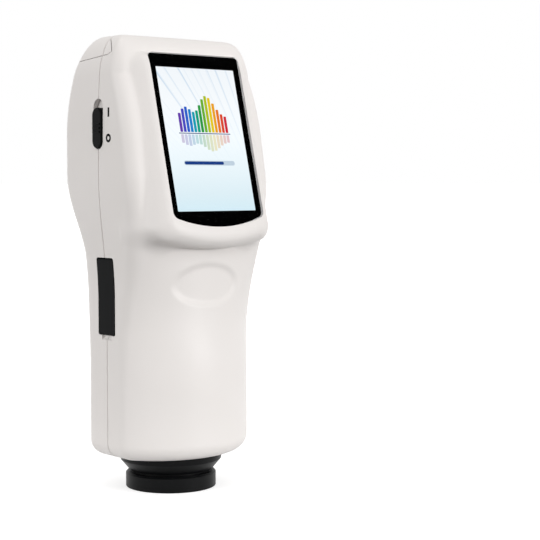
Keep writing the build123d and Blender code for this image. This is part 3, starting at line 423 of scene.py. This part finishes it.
# %% [markdown]
# ## From the function to a mesh
# A function can be meshed with marching cubes, but small cubes are slow and large ones leave steps. The housing is
# star shaped about its axis, so each ring of the mesh is found by shooting rays outwards and halving, again and
# again, the interval in which the function changes sign. Near the seam the rays are parallel, so that the
# shells' edges lie on planes of constant Y and can curl in by a few tenths of a millimetre, as moulded edges do.

# %% Rings and rays
SEAM = [(0.13, 0.8), (0.18, 0.42), (0.33, 0.14), (0.6, 0.0), (1.2, 0.0), (2.2, 0.0), (3.4, 0.0)]
FAN_START = math.atan2(4.6, 40.0)
CROWN_TURN = math.radians(88)


def rings(inset):
    """Height, outline height and inset of each ring: a quarter round at the foot, the sides, and the crown.

    The rings lie closer together where the chin meets the grip.
    """
    turn = np.radians(np.linspace(90, 0, 14))
    low = FOOT_Z + inset * np.sin(turn) + FOOT_ROUND * (1 - np.sin(turn))
    foot = (low, np.full(14, FOOT_Z + FOOT_ROUND), (9.0 - 1.25 * inset) * (1 - np.cos(turn)) + inset)
    levels = [np.linspace(26.0, 122.0, 84), np.linspace(122.0, 132.0, 41), np.linspace(132.0, CROWN_Z, 72)]
    level = np.concatenate([part[1:] for part in levels])
    turn = CROWN_TURN * np.arange(1, 19) / 18
    high = CROWN_Z + (CROWN_TOP - inset - CROWN_Z) * np.sin(turn) / math.sin(CROWN_TURN)
    crown = (high, high, inset + CROWN_ROUND * (1 - np.cos(turn)))
    return np.hstack([foot, (level, level, np.full(len(level), inset)), crown])


def half_rays(sign, count=150):
    """Start in Y, direction and edge curl of the rays of one half, front (-1) or rear (+1), from +X to -X."""
    seam = np.array(SEAM)
    angles = np.linspace(FAN_START, math.pi - FAN_START, count)
    fan = np.column_stack([np.cos(angles), sign * np.sin(angles)])
    flat = np.tile((1.0, 0.0), (len(seam), 1))
    start = np.concatenate([sign * seam[:, 0], np.zeros(count), sign * seam[::-1, 0]])
    curl = np.concatenate([seam[:, 1], np.zeros(count), seam[::-1, 1]])
    return start, np.concatenate([flat, fan, -flat]), curl


def half_skin(sign, inset, curled):
    """Grid of points (rings, rays, 3) of one half: 34 halvings between 0 and 75 mm along each ray."""
    z, shape_z, draw = rings(inset)[:, :, None]
    start, toward, curl = half_rays(sign)
    draw = draw + (curl if curled else 0.0)
    near = np.zeros((len(z), len(start)))
    far = np.full_like(near, 75.0)
    for _ in range(34):
        middle = (near + far) / 2
        inside = skin(toward[:, 0] * middle, start + toward[:, 1] * middle, z, shape_z, draw) < 0
        near, far = np.where(inside, middle, near), np.where(inside, far, middle)
    x, y = toward[:, 0] * near, start + toward[:, 1] * near
    return np.stack([x, y, np.broadcast_to(z, x.shape)], axis=-1)


print("rings:", rings(0.0).shape[1], "rays in a half:", len(half_rays(1)[0]))

# %% [markdown]
# ### Mesh objects
# Every new piece is made by one function that takes points in millimetres and faces as lists of corner numbers.
# Its normals are turned outwards, and edges sharper than 32 degrees stay sharp while the rest is shaded smooth.
# A single flat face has no inside, so it keeps the direction that the order of its corners gives.

# %% Helpers for meshes
SHARP = math.radians(32)


def shade(piece):
    """Smooth shading, with edges above the sharp angle left sharp."""
    piece.data.polygons.foreach_set("use_smooth", [True] * len(piece.data.polygons))
    piece.data.set_sharp_from_angle(angle=SHARP)


def mesh_object(name, points, faces, material):
    """New object at the origin, from points in mm and faces as lists of corner numbers."""
    mesh = bpy.data.meshes.new(name)
    mesh.from_pydata((np.asarray(points) * MM).tolist(), [], faces)
    mesh.validate()
    made = bpy.data.objects.new(name, mesh)
    bpy.context.scene.collection.objects.link(made)
    if len(faces) > 1:
        outwards = bmesh.new()
        outwards.from_mesh(mesh)
        bmesh.ops.recalc_face_normals(outwards, faces=outwards.faces)
        outwards.to_mesh(mesh)
        outwards.free()
    mesh.materials.append(material)
    shade(made)
    return made


def tell(*pieces):
    """Prints each piece's faces and its size in mm, the highest corner less the lowest."""
    for piece in pieces:
        spots = np.empty(3 * len(piece.data.vertices))
        piece.data.vertices.foreach_get("co", spots)
        size = np.round(np.ptp(spots.reshape(-1, 3), axis=0) / MM, 1)
        print(piece.name, len(piece.data.polygons), "faces, size in mm", size)


print("edges that turn by more than", round(math.degrees(SHARP)), "degrees stay sharp")


# %% Closed half shells


def half_shell(name, sign):
    """Closed solid of one half: outer skin, inner skin a wall's thickness in, and rims between them.

    Rims run along both seam edges and the foot. The crown is closed by a flat face outside and inside.
    """
    outer, inner = half_skin(sign, 0.0, True), half_skin(sign, WALL, False)
    rows, columns, _ = outer.shape
    shift = rows * columns
    corner = np.arange(shift).reshape(rows, columns)
    first = corner[:-1, :-1]
    quads = np.stack([first, first + 1, first + columns + 1, first + columns], axis=-1).reshape(-1, 4)
    faces = quads.tolist() + (shift + quads[:, ::-1]).tolist()
    for edge in (corner[:, 0], corner[:, -1], corner[0]):
        faces += np.column_stack([edge[:-1], edge[1:], edge[1:] + shift, edge[:-1] + shift]).tolist()
    top = corner[-1]
    faces += [top.tolist(), (top[::-1] + shift).tolist()]
    faces.append([int(k) for k in (top[0], top[0] + shift, top[-1] + shift, top[-1])])
    points = np.concatenate([outer.reshape(-1, 3), inner.reshape(-1, 3)])
    return mesh_object(name, points, faces, moulded_abs)


front_skin = half_shell("front_skin", -1)
rear_skin = half_shell("rear_skin", 1)
cover_skin = half_shell("cover_skin", 1)
cover_front = half_shell("cover_front", -1)
tell(front_skin, rear_skin)

# %% [markdown]
# ## Cutters
# The real shells have their openings from the tool. Leaving holes in the ray grid would give stepped edges, so each
# opening is a closed prism that is taken out of a finished shell. A prism is an outline in one of four planes,
# carried from one depth to another.

# %% Outlines
FROM_BEHIND = ((0, 0, 0), (1, 0, 0), (0, 0, 1), (0, 1, 0))  # outline in X and Z, depth along Y
FROM_ABOVE = ((0, 0, 0), (1, 0, 0), (0, 1, 0), (0, 0, 1))  # outline in X and Y, depth along Z
FROM_SIDE = ((0, 0, 0), (0, 1, 0), (0, 0, 1), (1, 0, 0))  # outline in Y and Z, depth along X
SCREEN_UP = (0, math.sin(TILT), math.cos(TILT))
SCREEN_OUT = (0, -math.cos(TILT), math.sin(TILT))
ON_SCREEN = ((0, -SCREEN_Y, SCREEN_Z), (1, 0, 0), SCREEN_UP, SCREEN_OUT)


def rounded(corners, radii, steps=8):
    """Outline with its corners rounded: each arc touches both neighbouring sides, and its middle lies on the
    line that halves the corner, at the radius divided by the sine of half the corner's angle."""
    outline = []
    for i, (spot, radius) in enumerate(zip(corners, radii)):
        here = np.array(spot, float)
        if radius <= 0:
            outline.append(here[None, :])
            continue
        back = np.array(corners[i - 1], float) - here
        ahead = np.array(corners[(i + 1) % len(corners)], float) - here
        back /= np.linalg.norm(back)
        ahead /= np.linalg.norm(ahead)
        half = math.acos(np.clip(back @ ahead, -1, 1)) / 2
        middle = here + (back + ahead) / np.linalg.norm(back + ahead) * radius / math.sin(half)
        start = here + back * radius / math.tan(half) - middle
        end = here + ahead * radius / math.tan(half) - middle
        share = np.linspace(0, 1, steps + 1)[:, None]
        arm = start * (1 - share) + end * share
        outline.append(middle + arm / np.linalg.norm(arm, axis=1, keepdims=True) * radius)
    return np.concatenate(outline)


def box_outline(u0, u1, v0, v1, radius, steps=8):
    """Rectangle with four equal rounded corners."""
    return rounded([(u0, v0), (u1, v0), (u1, v1), (u0, v1)], [radius] * 4, steps)


def disc(radius, u=0.0, v=0.0, count=64):
    """Circle about (u, v): radius times cosine and sine of even turns."""
    turn = np.linspace(0, 2 * math.pi, count, endpoint=False)
    return np.stack([u + radius * np.cos(turn), v + radius * np.sin(turn)], axis=1)


def screen_outline(grow, count=24):
    """The glass's outline: two sides, a straight top, and a lower edge that is a parabola.

    Its height is (a - s) t^2 - a, where t runs from -1 to 1 across, a is the depth at its middle and s at its ends.
    """
    half, side, arc = GLASS_HALF + grow, GLASS_SIDE + grow, GLASS_ARC + grow
    t = np.linspace(-1, 1, count)
    t = t[(np.abs(t) == 1) | (np.abs(half * t) < half - 5)]
    low = np.column_stack([half * t, (arc - side) * t * t - arc])
    corners = np.vstack([low, (half, GLASS_TOP + grow), (-half, GLASS_TOP + grow)])
    return rounded(corners, [3.5 + grow] + [0.0] * (len(low) - 2) + [3.5 + grow, 2.0 + grow, 2.0 + grow])


print("glass outline:", len(screen_outline(0.0)), "corners, size in mm", np.ptp(screen_outline(0.0), axis=0))

# %% Prisms and cuts


def prism(name, outline, plane, low, high, material=None):
    """Closed prism of an outline: origin + u * right + v * up + depth * out, at the depths low and high."""
    origin, right, up, out = (np.array(part, float) for part in plane)
    flat = origin + outline[:, :1] * right + outline[:, 1:] * up
    count = len(outline)
    first = np.arange(count)
    after = (first + 1) % count
    faces = np.stack([first, after, count + after, count + first], axis=1).tolist()
    faces += [first[::-1].tolist(), (count + first).tolist()]
    return mesh_object(name, np.concatenate([flat + low * out, flat + high * out]), faces, material or moulded_abs)


def combine(piece, cutter, operation="DIFFERENCE"):
    """Applies a Boolean of piece and cutter at once, and removes the cutter."""
    change = piece.modifiers.new("cut", "BOOLEAN")
    change.operation = operation
    change.solver = "MANIFOLD"
    change.object = cutter
    graph = bpy.context.evaluated_depsgraph_get()
    result = bpy.data.meshes.new_from_object(piece.evaluated_get(graph))
    piece.modifiers.clear()
    piece.data = result
    bpy.data.objects.remove(cutter)
    shade(piece)


print("planes for prisms:", len((FROM_BEHIND, FROM_ABOVE, FROM_SIDE, ON_SCREEN)))

# %% [markdown]
# ## The battery cover
# The cover is a hood over the crown's rear, with an ear at each end and a tongue that runs down to the key. It could
# be modelled by itself, but then its face would never quite meet the shells'. So a third skin is made and only the
# part in the cover's space is kept, while the shells lose the same space, grown by the gap.

# %% The cover's space
KEY_Z, KEY_HOLE = 133.0, 11.25
COVER_SLOPE, COVER_LOW, COVER_GAP = 0.097, 220.1, 0.28


def cover_space(name, grow):
    """Closed solid of the space: an outline from behind, common with an outline from above, less two nibs.

    The lower edge falls towards the back by the slope. Each nib rounds an ear's lower front edge by a quarter
    circle of 3 mm.
    """
    low = COVER_LOW - grow
    tongue = KEY_Z + COVER_SLOPE * REAR_BULGE - grow
    inner = 30.0 + grow
    corners = [(-70, 270), (-70, low), (-inner, low), (-inner, tongue)]
    corners += [(-u, v) for u, v in corners[::-1]]
    outline = rounded(corners, [0, 0, 12.0, 5.0, 5.0, 12.0, 0, 0], 10)
    zone = prism(name, outline, ((0, 0, 0), (1, 0, 0), (0, 0, 1), (0, 1, -COVER_SLOPE)), -20.0, 80.0)
    ear_x, ear_y, front = 41.2 - 0.56 * grow, -8.0 - grow, -0.3 - grow
    corners = [(-80, 79), (-80, ear_y), (-ear_x, ear_y), (4.7 - ear_x, front)]
    corners += [(-u, v) for u, v in corners[::-1]]
    plan = rounded(corners, [0, 0, 1.5, 2.5, 2.5, 1.5, 0, 0], 6)
    combine(zone, prism(name + "_plan", plan, FROM_ABOVE, 90, 300), "INTERSECT")
    base = low - COVER_SLOPE * ear_y
    turn = np.radians(np.linspace(0, 90, 9))
    arc = np.column_stack([ear_y + 3 - 3 * np.sin(turn), base + 3 - 3 * np.cos(turn)])
    nib = np.vstack([(ear_y - 1, base - 1.0), (ear_y + 3.0, base - 1.0), arc, (ear_y - 1, base + 3.0)])
    for side in (-1, 1):
        combine(zone, prism(name + "_nib", nib, FROM_SIDE, *sorted((side * (ear_x - 1.0), side * 75.0))))
    return zone


for piece in (front_skin, rear_skin):
    combine(piece, cover_space("space", COVER_GAP))
for piece in (cover_skin, cover_front):
    combine(piece, cover_space("space", 0.0), "INTERSECT")
tell(cover_skin, cover_front)

# %% [markdown]
# ## Openings in the shells
# The shells open for the slide switch, the port cover with its fingernail notch, the nose, the foot screws, the
# screen, the key and the rear screws. Both halves get the cutters that lie on the seam, so that each opening
# fits across it. Most cutters start in front of the wall and end behind it, so their depths have only to be far
# enough apart. The depth counts for the glass's pocket, 1.1 mm, and for the heads of the foot screws.

# %% Openings on the seam and in the foot
SLOT_LOW, SLOT_LENGTH, SLOT_WIDTH = 173.7, 25.0, 8.4
FLAP_LOW, FLAP_HINGE, FLAP_WIDTH, FLAP_GAP = 81.0, 118.2, 14.0, 0.3
NOTCH, NOSE, FOOT_HEAD, REAR_HEAD = 2.2, 27.0, 2.2, 2.8  # radii
FOOT_SCREWS = [(x, y) for x in (-28.3, 28.3) for y in (-11.5, 11.5)]
REAR_SCREWS, REAR_SCREW_Z = (-31.0, 31.0), 125.0
half_slot, half_flap = SLOT_WIDTH / 2, FLAP_WIDTH / 2 + FLAP_GAP
slot_outline = box_outline(-half_slot, half_slot, SLOT_LOW, SLOT_LOW + SLOT_LENGTH, half_slot - 0.01, 16)
flap_outline = box_outline(-half_flap, half_flap, FLAP_LOW - FLAP_GAP, FLAP_HINGE + 1.6, 1.2)
for piece in (front_skin, rear_skin):
    combine(piece, prism("slot", slot_outline, FROM_SIDE, -52, -36))
    combine(piece, prism("flap", flap_outline, FROM_SIDE, -46, -34))
    combine(piece, prism("notch", disc(NOTCH, -40.5, FLAP_LOW - 2 * FLAP_GAP), FROM_BEHIND, -4.2, 4.2))
    combine(piece, prism("nose", disc(NOSE, count=128), FROM_ABOVE, 10, 21.5))
    for x, y in FOOT_SCREWS:
        combine(piece, prism("head", disc(FOOT_HEAD, x, y), FROM_ABOVE, 10, 19.2))
tell(front_skin, rear_skin)

# %% Openings in front and behind
POCKET_GAP, POCKET_DEEP = 0.2, 1.1
combine(front_skin, prism("pocket", screen_outline(POCKET_GAP), ON_SCREEN, -POCKET_DEEP, 6))
# the window behind the pocket lets the display's light through
combine(front_skin, prism("window", box_outline(-25.9, 25.9, -38.2, 38.2, 0.5), ON_SCREEN, -9, 6))
combine(rear_skin, prism("key", disc(KEY_HOLE, 0, KEY_Z), FROM_BEHIND, 18, 60))
combine(cover_skin, prism("key", disc(KEY_HOLE + 0.1, 0, KEY_Z), FROM_BEHIND, 18, 60))
for x in REAR_SCREWS:
    combine(rear_skin, prism("head", disc(REAR_HEAD, x, REAR_SCREW_Z), FROM_BEHIND, 18, 60))
for piece in (front_skin, rear_skin):
    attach(piece, "housing")
for piece in (cover_skin, cover_front):
    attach(piece, "battery_cover")
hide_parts("front_shell")
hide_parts("rear_shell")
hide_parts("battery_cover")
tell(front_skin, rear_skin, cover_skin)

# %% [markdown]
# ## Marks beside the switch
# A bar stands for on and a ring for off. On the real housing they are stamped with ink. They could be painted by
# the material, but then their edges would be as coarse as the noise of a mask. So each is a thin closed band
# that lies on the housing's flat side and sinks a quarter of a millimetre into it.

# %% Printed bar and ring
MARK_Y, RING_Z, BAR_Z = -9.0, 179.1, 191.8
INK_SUNK, INK_PROUD = 0.25, 0.05


def side_print(name, outer, hole):
    """Closed band between two outlines of Y and Z. Its X is the housing's flat side, less or plus a depth."""
    flat = [(outline, depth) for depth in (INK_SUNK, -INK_PROUD) for outline in (outer, hole)]
    points = [np.column_stack([depth - section(outline[:, 1])[0], outline]) for outline, depth in flat]
    i = np.arange(len(outer))
    a, b, c, d = (i + k * len(outer) for k in range(4))
    e, f, g, h = ((i + 1) % len(outer) + k * len(outer) for k in range(4))
    quads = [np.stack(quad, axis=1) for quad in ((a, b, f, e), (c, g, h, d), (a, e, g, c), (b, d, h, f))]
    made = mesh_object(name, np.concatenate(points), np.concatenate(quads).tolist(), stamped_black)
    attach(made, "housing")
    return made


ring = side_print("mark_off", disc(2.15, MARK_Y, RING_Z, 48), disc(0.95, MARK_Y, RING_Z, 48))
bar_outline = box_outline(-9.7, -8.3, 189.5, 194.1, 0.2, 4)
# the bar's hole is a twentieth of its size, too small to be seen
middle = np.array((MARK_Y, BAR_Z))
bar = side_print("mark_on", bar_outline, middle + 0.05 * (bar_outline - middle))
tell(ring, bar)

# %% [markdown]
# ## The switch's shield
# A real slide switch keeps dust out with a strip that moves with the knob behind the wall. It could be left out,
# but then the slot's free end would show the dark inside. So a plate 0.56 mm thick in the housing's colour closes
# that end at either stop.

# %% Shield strip
shield = prism("switch_shield", box_outline(-5.2, 5.2, 169.4, 199.2, 1.0), FROM_SIDE, -41.06, -40.5)
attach(shield, "power_switch")
tell(shield)

# %% [markdown]
# ## Screw heads
# The screws have cross recesses for the driver. A dark cross could be painted on, but a real recess catches light
# on its edges. The solids have plain heads, so a copy of them is taken, its loose triangles are merged, and a
# cross of two slots is cut into each head. The copies stand for the solids.

# %% Cross recesses


def carved(name, node, cutters):
    """Copy of a solid's mesh with shapes cut out of it, in place of that solid."""
    piece = bpy.data.objects.new(name, nodes[node].data.copy())
    bpy.context.scene.collection.objects.link(piece)
    weld = bmesh.new()
    weld.from_mesh(piece.data)
    bmesh.ops.remove_doubles(weld, verts=weld.verts, dist=1e-7)
    weld.to_mesh(piece.data)
    weld.free()
    for cutter in cutters:
        combine(piece, cutter)
    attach(piece, "housing")
    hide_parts(node)
    return piece


def cross_recess(place, up, out, reach, width, depth):
    """Two crossed slots of half length reach and half width, whose floor lies a depth below the screw's head."""
    plane = (place, (1, 0, 0), up, out)
    cross = prism("cross", box_outline(-reach, reach, -width, width, width * 0.9, 4), plane, -depth, 1.0)
    bar = prism("bar", box_outline(-width, width, -reach, reach, width * 0.9, 4), plane, -depth, 1.0)
    combine(cross, bar, "UNION")
    return cross


rear_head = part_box("rear_screws")[1][1] / MM
foot_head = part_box("foot_screws")[0][2] / MM
rear_places = [(x, rear_head, REAR_SCREW_Z) for x in REAR_SCREWS]
rear_cuts = [cross_recess(place, (0, 0, 1), (0, 1, 0), 1.7, 0.36, 1.1) for place in rear_places]
foot_cuts = [cross_recess((x, y, foot_head), (0, 1, 0), (0, 0, -1), 1.35, 0.28, 0.8) for x, y in FOOT_SCREWS]
tell(carved("rear_screw_set", "rear_screws", rear_cuts), carved("foot_screw_set", "foot_screws", foot_cuts))

# %% [markdown]
# ## The black border of the screen
# The glass is printed black from behind, round a window as large as the lit panel of 48.96 by 73.44 mm. The print
# could be a second colour of the glass, but ink is opaque and glass is not. So it is a thin plate inside the
# glass, with a prism taken out of it for the window.

# %% Print behind the glass
LIT_HALF, LIT_TALL = 24.48, 36.72
PRINT_DEPTH, PRINT_THICK = -0.8, 0.04
border = prism("glass_print", screen_outline(-0.15), ON_SCREEN, PRINT_DEPTH - PRINT_THICK, PRINT_DEPTH, printed_black)
window = box_outline(-LIT_HALF, LIT_HALF, -LIT_TALL, LIT_TALL, 0.3)
combine(border, prism("hole", window, ON_SCREEN, PRINT_DEPTH - 5, PRINT_DEPTH + 5))
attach(border, "housing")
tell(border)

# %% [markdown]
# ## The picture on the screen
# A lit panel shines by itself, so its colour goes to the emission socket over a nearly black base. The start
# picture is made up: pale blue that deepens downwards, with slanting streaks of light. The streaks all run
# through one point below the picture. Noise that reads only the slant of the line to that point gives them,
# where a stretched noise would give parallel ones.

# %% Lit picture
SKY = [(0.0, "cde3ea"), (0.12, "d6e5ea"), (0.3, "e2ecef"), (0.5, "edf2f4"), (0.75, "eef0f1"), (1.0, "e9ecee")]


def lit(name, strength=1.0):
    """Material that gives light and reflects almost none. Its emission colour is set by the caller."""
    made, tree, shader = start_material(name)
    shader.inputs["Base Color"].default_value = linear("050505")
    shader.inputs["Specular IOR Level"].default_value = 0.0
    shader.inputs["Roughness"].default_value = 0.3
    shader.inputs["Emission Strength"].default_value = strength
    return made, tree, shader.inputs["Emission Color"]


lit_picture, tree, glow = lit("lit_picture", 1.2)
place = add(tree, "UVMap", {}, uv_map="picture").outputs["UV"]
split = add(tree, "SeparateXYZ", {"Vector": place})
across, height = split.outputs["X"], split.outputs["Y"]
sky = add(tree, "ValToRGB", {"Fac": height})
sky.color_ramp.elements[0].color = linear(SKY[0][1])
sky.color_ramp.elements[1].color = linear(SKY[-1][1])
for stop, code in SKY[1:-1]:
    sky.color_ramp.elements.new(stop).color = linear(code)
print("sky: a ramp of", len(sky.color_ramp.elements), "colours")

# %% Streaks of light
# slant = (u - 1.35) / (v + 0.35), the same all along a line through the point (1.35, -0.35); with 22 waves of noise
# to a unit of slant, a wave is 48.96 * 1.35 / 22 = 3 mm wide at the picture's top edge, and narrower below
aside = add(tree, "Math", {0: across, 1: 1.35}, operation="SUBTRACT").outputs[0]
rise = add(tree, "Math", {0: height, 1: 0.35}, operation="ADD").outputs[0]
slant = add(tree, "Math", {0: aside, 1: rise}, operation="DIVIDE").outputs[0]
line = add(tree, "CombineXYZ", {"X": slant}).outputs[0]
streaks = add(tree, "TexNoise", {"Vector": line, "Scale": 22.0, "Detail": 3.0}).outputs["Fac"]
crisp = add(tree, "MapRange", {"Value": streaks, "From Min": 0.54, "From Max": 0.68}).outputs["Result"]
fade = {"Value": height, "From Min": 0.3, "From Max": 0.95, "To Max": 0.75}
share = {0: add(tree, "MapRange", fade).outputs["Result"], 1: crisp}
share = add(tree, "Math", share, operation="MULTIPLY").outputs[0]
tones = {"Factor": share, "A": sky.outputs["Color"], "B": linear("aac3da")}
tree.links.new(add(tree, "Mix", tones, data_type="RGBA").outputs["Result"], glow)
print("lit_picture:", len(tree.nodes), "nodes")

# %% Flat patches of the picture


def flat_patch(name, outline, depth, material):
    """One flat face in the screen's plane, with its UV running from 0 to 1 over the lit window.

    The outline runs anticlockwise, so that the face looks out of the screen.
    """
    origin, right, up, out = (np.array(part, float) for part in ON_SCREEN)
    points = origin + outline[:, :1] * right + outline[:, 1:] * up + depth * out
    made = mesh_object(name, points, [list(range(len(points)))], material)
    corner = np.empty(len(made.data.loops), np.int32)
    made.data.loops.foreach_get("vertex_index", corner)
    spread = (outline[corner] + (LIT_HALF, LIT_TALL)) / (2 * LIT_HALF, 2 * LIT_TALL)
    made.data.uv_layers.new(name="picture").data.foreach_set("uv", spread.ravel())
    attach(made, "housing")
    return made


def drawn(name, code, outline, depth=-1.04):
    """Patch of one lit colour, 0.02 mm in front of the picture, or 0.03 mm where it lies on another one."""
    paint, _, colour = lit("lit_" + name)
    colour.default_value = linear(code)
    return flat_patch(name, outline, depth, paint)


tell(flat_patch("picture", box_outline(-25.2, 25.2, -37.4, 37.4, 0.2), -1.06, lit_picture))

# %% [markdown]
# ### A spectrum and a start-up bar
# Fourteen bars stand for a measured spectrum, from violet to red, with a fading mirror image below them. Two bell
# curves give their heights. Each bar is its own flat patch, because crisp edges in a pattern need a mask each.

# %% Bars, echoes and the line between them
SPECTRUM = ["6a3fb0", "4b49c4", "2f62cf", "1f86cf", "12a3b8", "12a583", "2f9f42", "6fb52c", "b7c720", "f0cf1c"]
SPECTRUM += ["f6a81d", "f27b22", "e74a2b", "d92a3c"]
BAR_HALF, BAR_SPAN, ECHO_TALL, ECHO_PALE = 0.85, 30.8, 0.45, 0.8


def bell(share, middle, wide):
    """Bell curve: e to the power of minus ((share - middle) / wide) squared."""
    return math.exp(-(((share - middle) / wide) ** 2))


for i, code in enumerate(SPECTRUM):
    share = (i + 0.5) / len(SPECTRUM)
    left = BAR_SPAN * (share - 0.5) - BAR_HALF
    right = left + 2 * BAR_HALF
    tall = 8.0 + 11.0 * bell(share, 0.62, 0.2) + 5.0 * bell(share, 0.17, 0.13)
    parts = [int(code[k : k + 2], 16) for k in (0, 2, 4)]
    pale = "".join(f"{round((1 - ECHO_PALE) * part + ECHO_PALE * 244):02x}" for part in parts)
    drawn(f"bar_{i}", code, box_outline(left, right, 3.6, 3.6 + tall, 0.3, 3))
    drawn(f"echo_{i}", pale, box_outline(left, right, 2.4 - ECHO_TALL * tall, 2.4, 0.3, 3))
drawn("axis_line", "24407c", box_outline(-16.2, 16.2, 2.75, 3.2, 0.1, 2), -1.03)
drawn("track", "c9d9e6", box_outline(-16.0, 16.0, -13.4, -11.0, 1.15, 6))
drawn("progress", "1d3f86", box_outline(-15.6, 9.0, -13.0, -11.4, 0.78, 6), -1.03)
print("bars:", len(SPECTRUM))

# %% [markdown]
# ## The floor
# The meter stands on plain white paper that runs out to the horizon. A very bright lamp could make it white, but
# it would bleach the meter too. So the floor is pale paper that takes the shadow, and adds some light of its
# own only for rays that come from the camera, a reflection or through glass. For light that it throws back at
# the meter the paper turns darker away from the foot, which keeps the underside of the chin in shade.

# %% White paper
SPREAD = 30.0  # metres from the middle to an edge
SHADE_START, SHADE_END = 0.05, 0.17  # metres from the middle
floor_mesh = bpy.data.meshes.new("floor")
corners = [(-SPREAD, -SPREAD, 0), (SPREAD, -SPREAD, 0), (SPREAD, SPREAD, 0), (-SPREAD, SPREAD, 0)]
floor_mesh.from_pydata(corners, [], [(0, 1, 2, 3)])
floor = bpy.data.objects.new("floor", floor_mesh)
bpy.context.scene.collection.objects.link(floor)
pressed_paper, tree, shader = start_material("pressed_paper")
shader.inputs["Roughness"].default_value = 0.9
shader.inputs["Specular IOR Level"].default_value = 0.0
place = add(tree, "TexCoord", {}).outputs["Object"]
away = add(tree, "VectorMath", {0: place}, operation="LENGTH").outputs["Value"]
path = add(tree, "LightPath", {}).outputs
beyond = {"Value": away, "From Min": SHADE_START, "From Max": SHADE_END, "To Max": path["Is Diffuse Ray"]}
bounce = {"Factor": add(tree, "MapRange", beyond).outputs["Result"], "A": linear("e2e2e2"), "B": linear("747474")}
tree.links.new(add(tree, "Mix", bounce, data_type="RGBA").outputs["Result"], shader.inputs["Base Color"])
print("paper: darkest for its own bounce beyond", round(SHADE_END / MM), "mm")

# %% Its own light


def seen_directly(tree):
    """1 for rays from the camera, from a reflection and through glass, else 0: the largest of the three."""
    path = add(tree, "LightPath", {}).outputs
    plain = {0: path["Is Camera Ray"], 1: path["Is Glossy Ray"]}
    plain = add(tree, "Math", plain, operation="MAXIMUM").outputs[0]
    return add(tree, "Math", {0: plain, 1: path["Is Transmission Ray"]}, operation="MAXIMUM").outputs[0]


strength = {"Value": away, "From Min": 0.25, "From Max": 0.9, "To Min": 0.62, "To Max": 1.1}
lift = add(tree, "Emission", {"Strength": add(tree, "MapRange", strength).outputs["Result"]}).outputs[0]
dark = add(tree, "Emission", {"Strength": 0.0}).outputs[0]
glow = add(tree, "MixShader", {"Fac": seen_directly(tree), 1: dark, 2: lift}).outputs[0]
paper = add(tree, "AddShader", {0: shader.outputs[0], 1: glow}).outputs[0]
tree.links.new(paper, tree.nodes["Material Output"].inputs["Surface"])
floor_mesh.materials.append(pressed_paper)
print("floor:", 2 * SPREAD, "m wide,", len(tree.nodes), "nodes")

# %% [markdown]
# ## The room and the lamps
# The meter was lit by large soft boxes in a white room. The world shows plain white to the camera and lights the
# meter by a softer, slightly warm fill. Three rectangles of light do the rest: a high one in front gives the ridges
# their highlights, a low one fills the grip and the foot, and one on the left lights the flat side.

# %% World
world = bpy.data.worlds.new("studio")
bpy.context.scene.world = world
world.use_nodes = True
tree = world.node_tree
tree.nodes.clear()
WARM, WHITE = (1.0, 0.985, 0.97, 1.0), (1.0, 1.0, 1.0, 1.0)  # linear colours of light
fill = add(tree, "Background", {"Color": WARM, "Strength": 0.55}).outputs[0]
white = add(tree, "Background", {"Color": WHITE, "Strength": 1.0}).outputs[0]
room = add(tree, "MixShader", {"Fac": seen_directly(tree), 1: fill, 2: white}).outputs[0]
add(tree, "OutputWorld", {"Surface": room})
print("world:", len(tree.nodes), "nodes")

# %% Lamps


def area_lamp(name, place, target, size, power):
    """Rectangle of light at a place in metres, turned towards a target, with its power in watts."""
    lamp = bpy.data.objects.new(name, bpy.data.lights.new(name, "AREA"))
    bpy.context.scene.collection.objects.link(lamp)
    lamp.location = place
    lamp.rotation_euler = (Vector(target) - Vector(place)).to_track_quat("-Z", "Y").to_euler()
    lamp.data.shape = "RECTANGLE"
    lamp.data.size, lamp.data.size_y = size
    lamp.data.energy = power
    print(name, power, "W at", round((Vector(place) - Vector(target)).length, 2), "m")


area_lamp("key_lamp", (0.26, -2.3, 1.3), (0, 0, 0.12), (1.7, 1.7), 16.0)
area_lamp("low_lamp", (0.9, -2.3, 0.4), (0, 0, 0.1), (1.2, 0.5), 21.5)
area_lamp("side_lamp", (-2.4, 0.4, 0.8), (0, 0, 0.12), (1.4, 1.2), 22.5)
bpy.context.scene.view_settings.view_transform = "Standard"
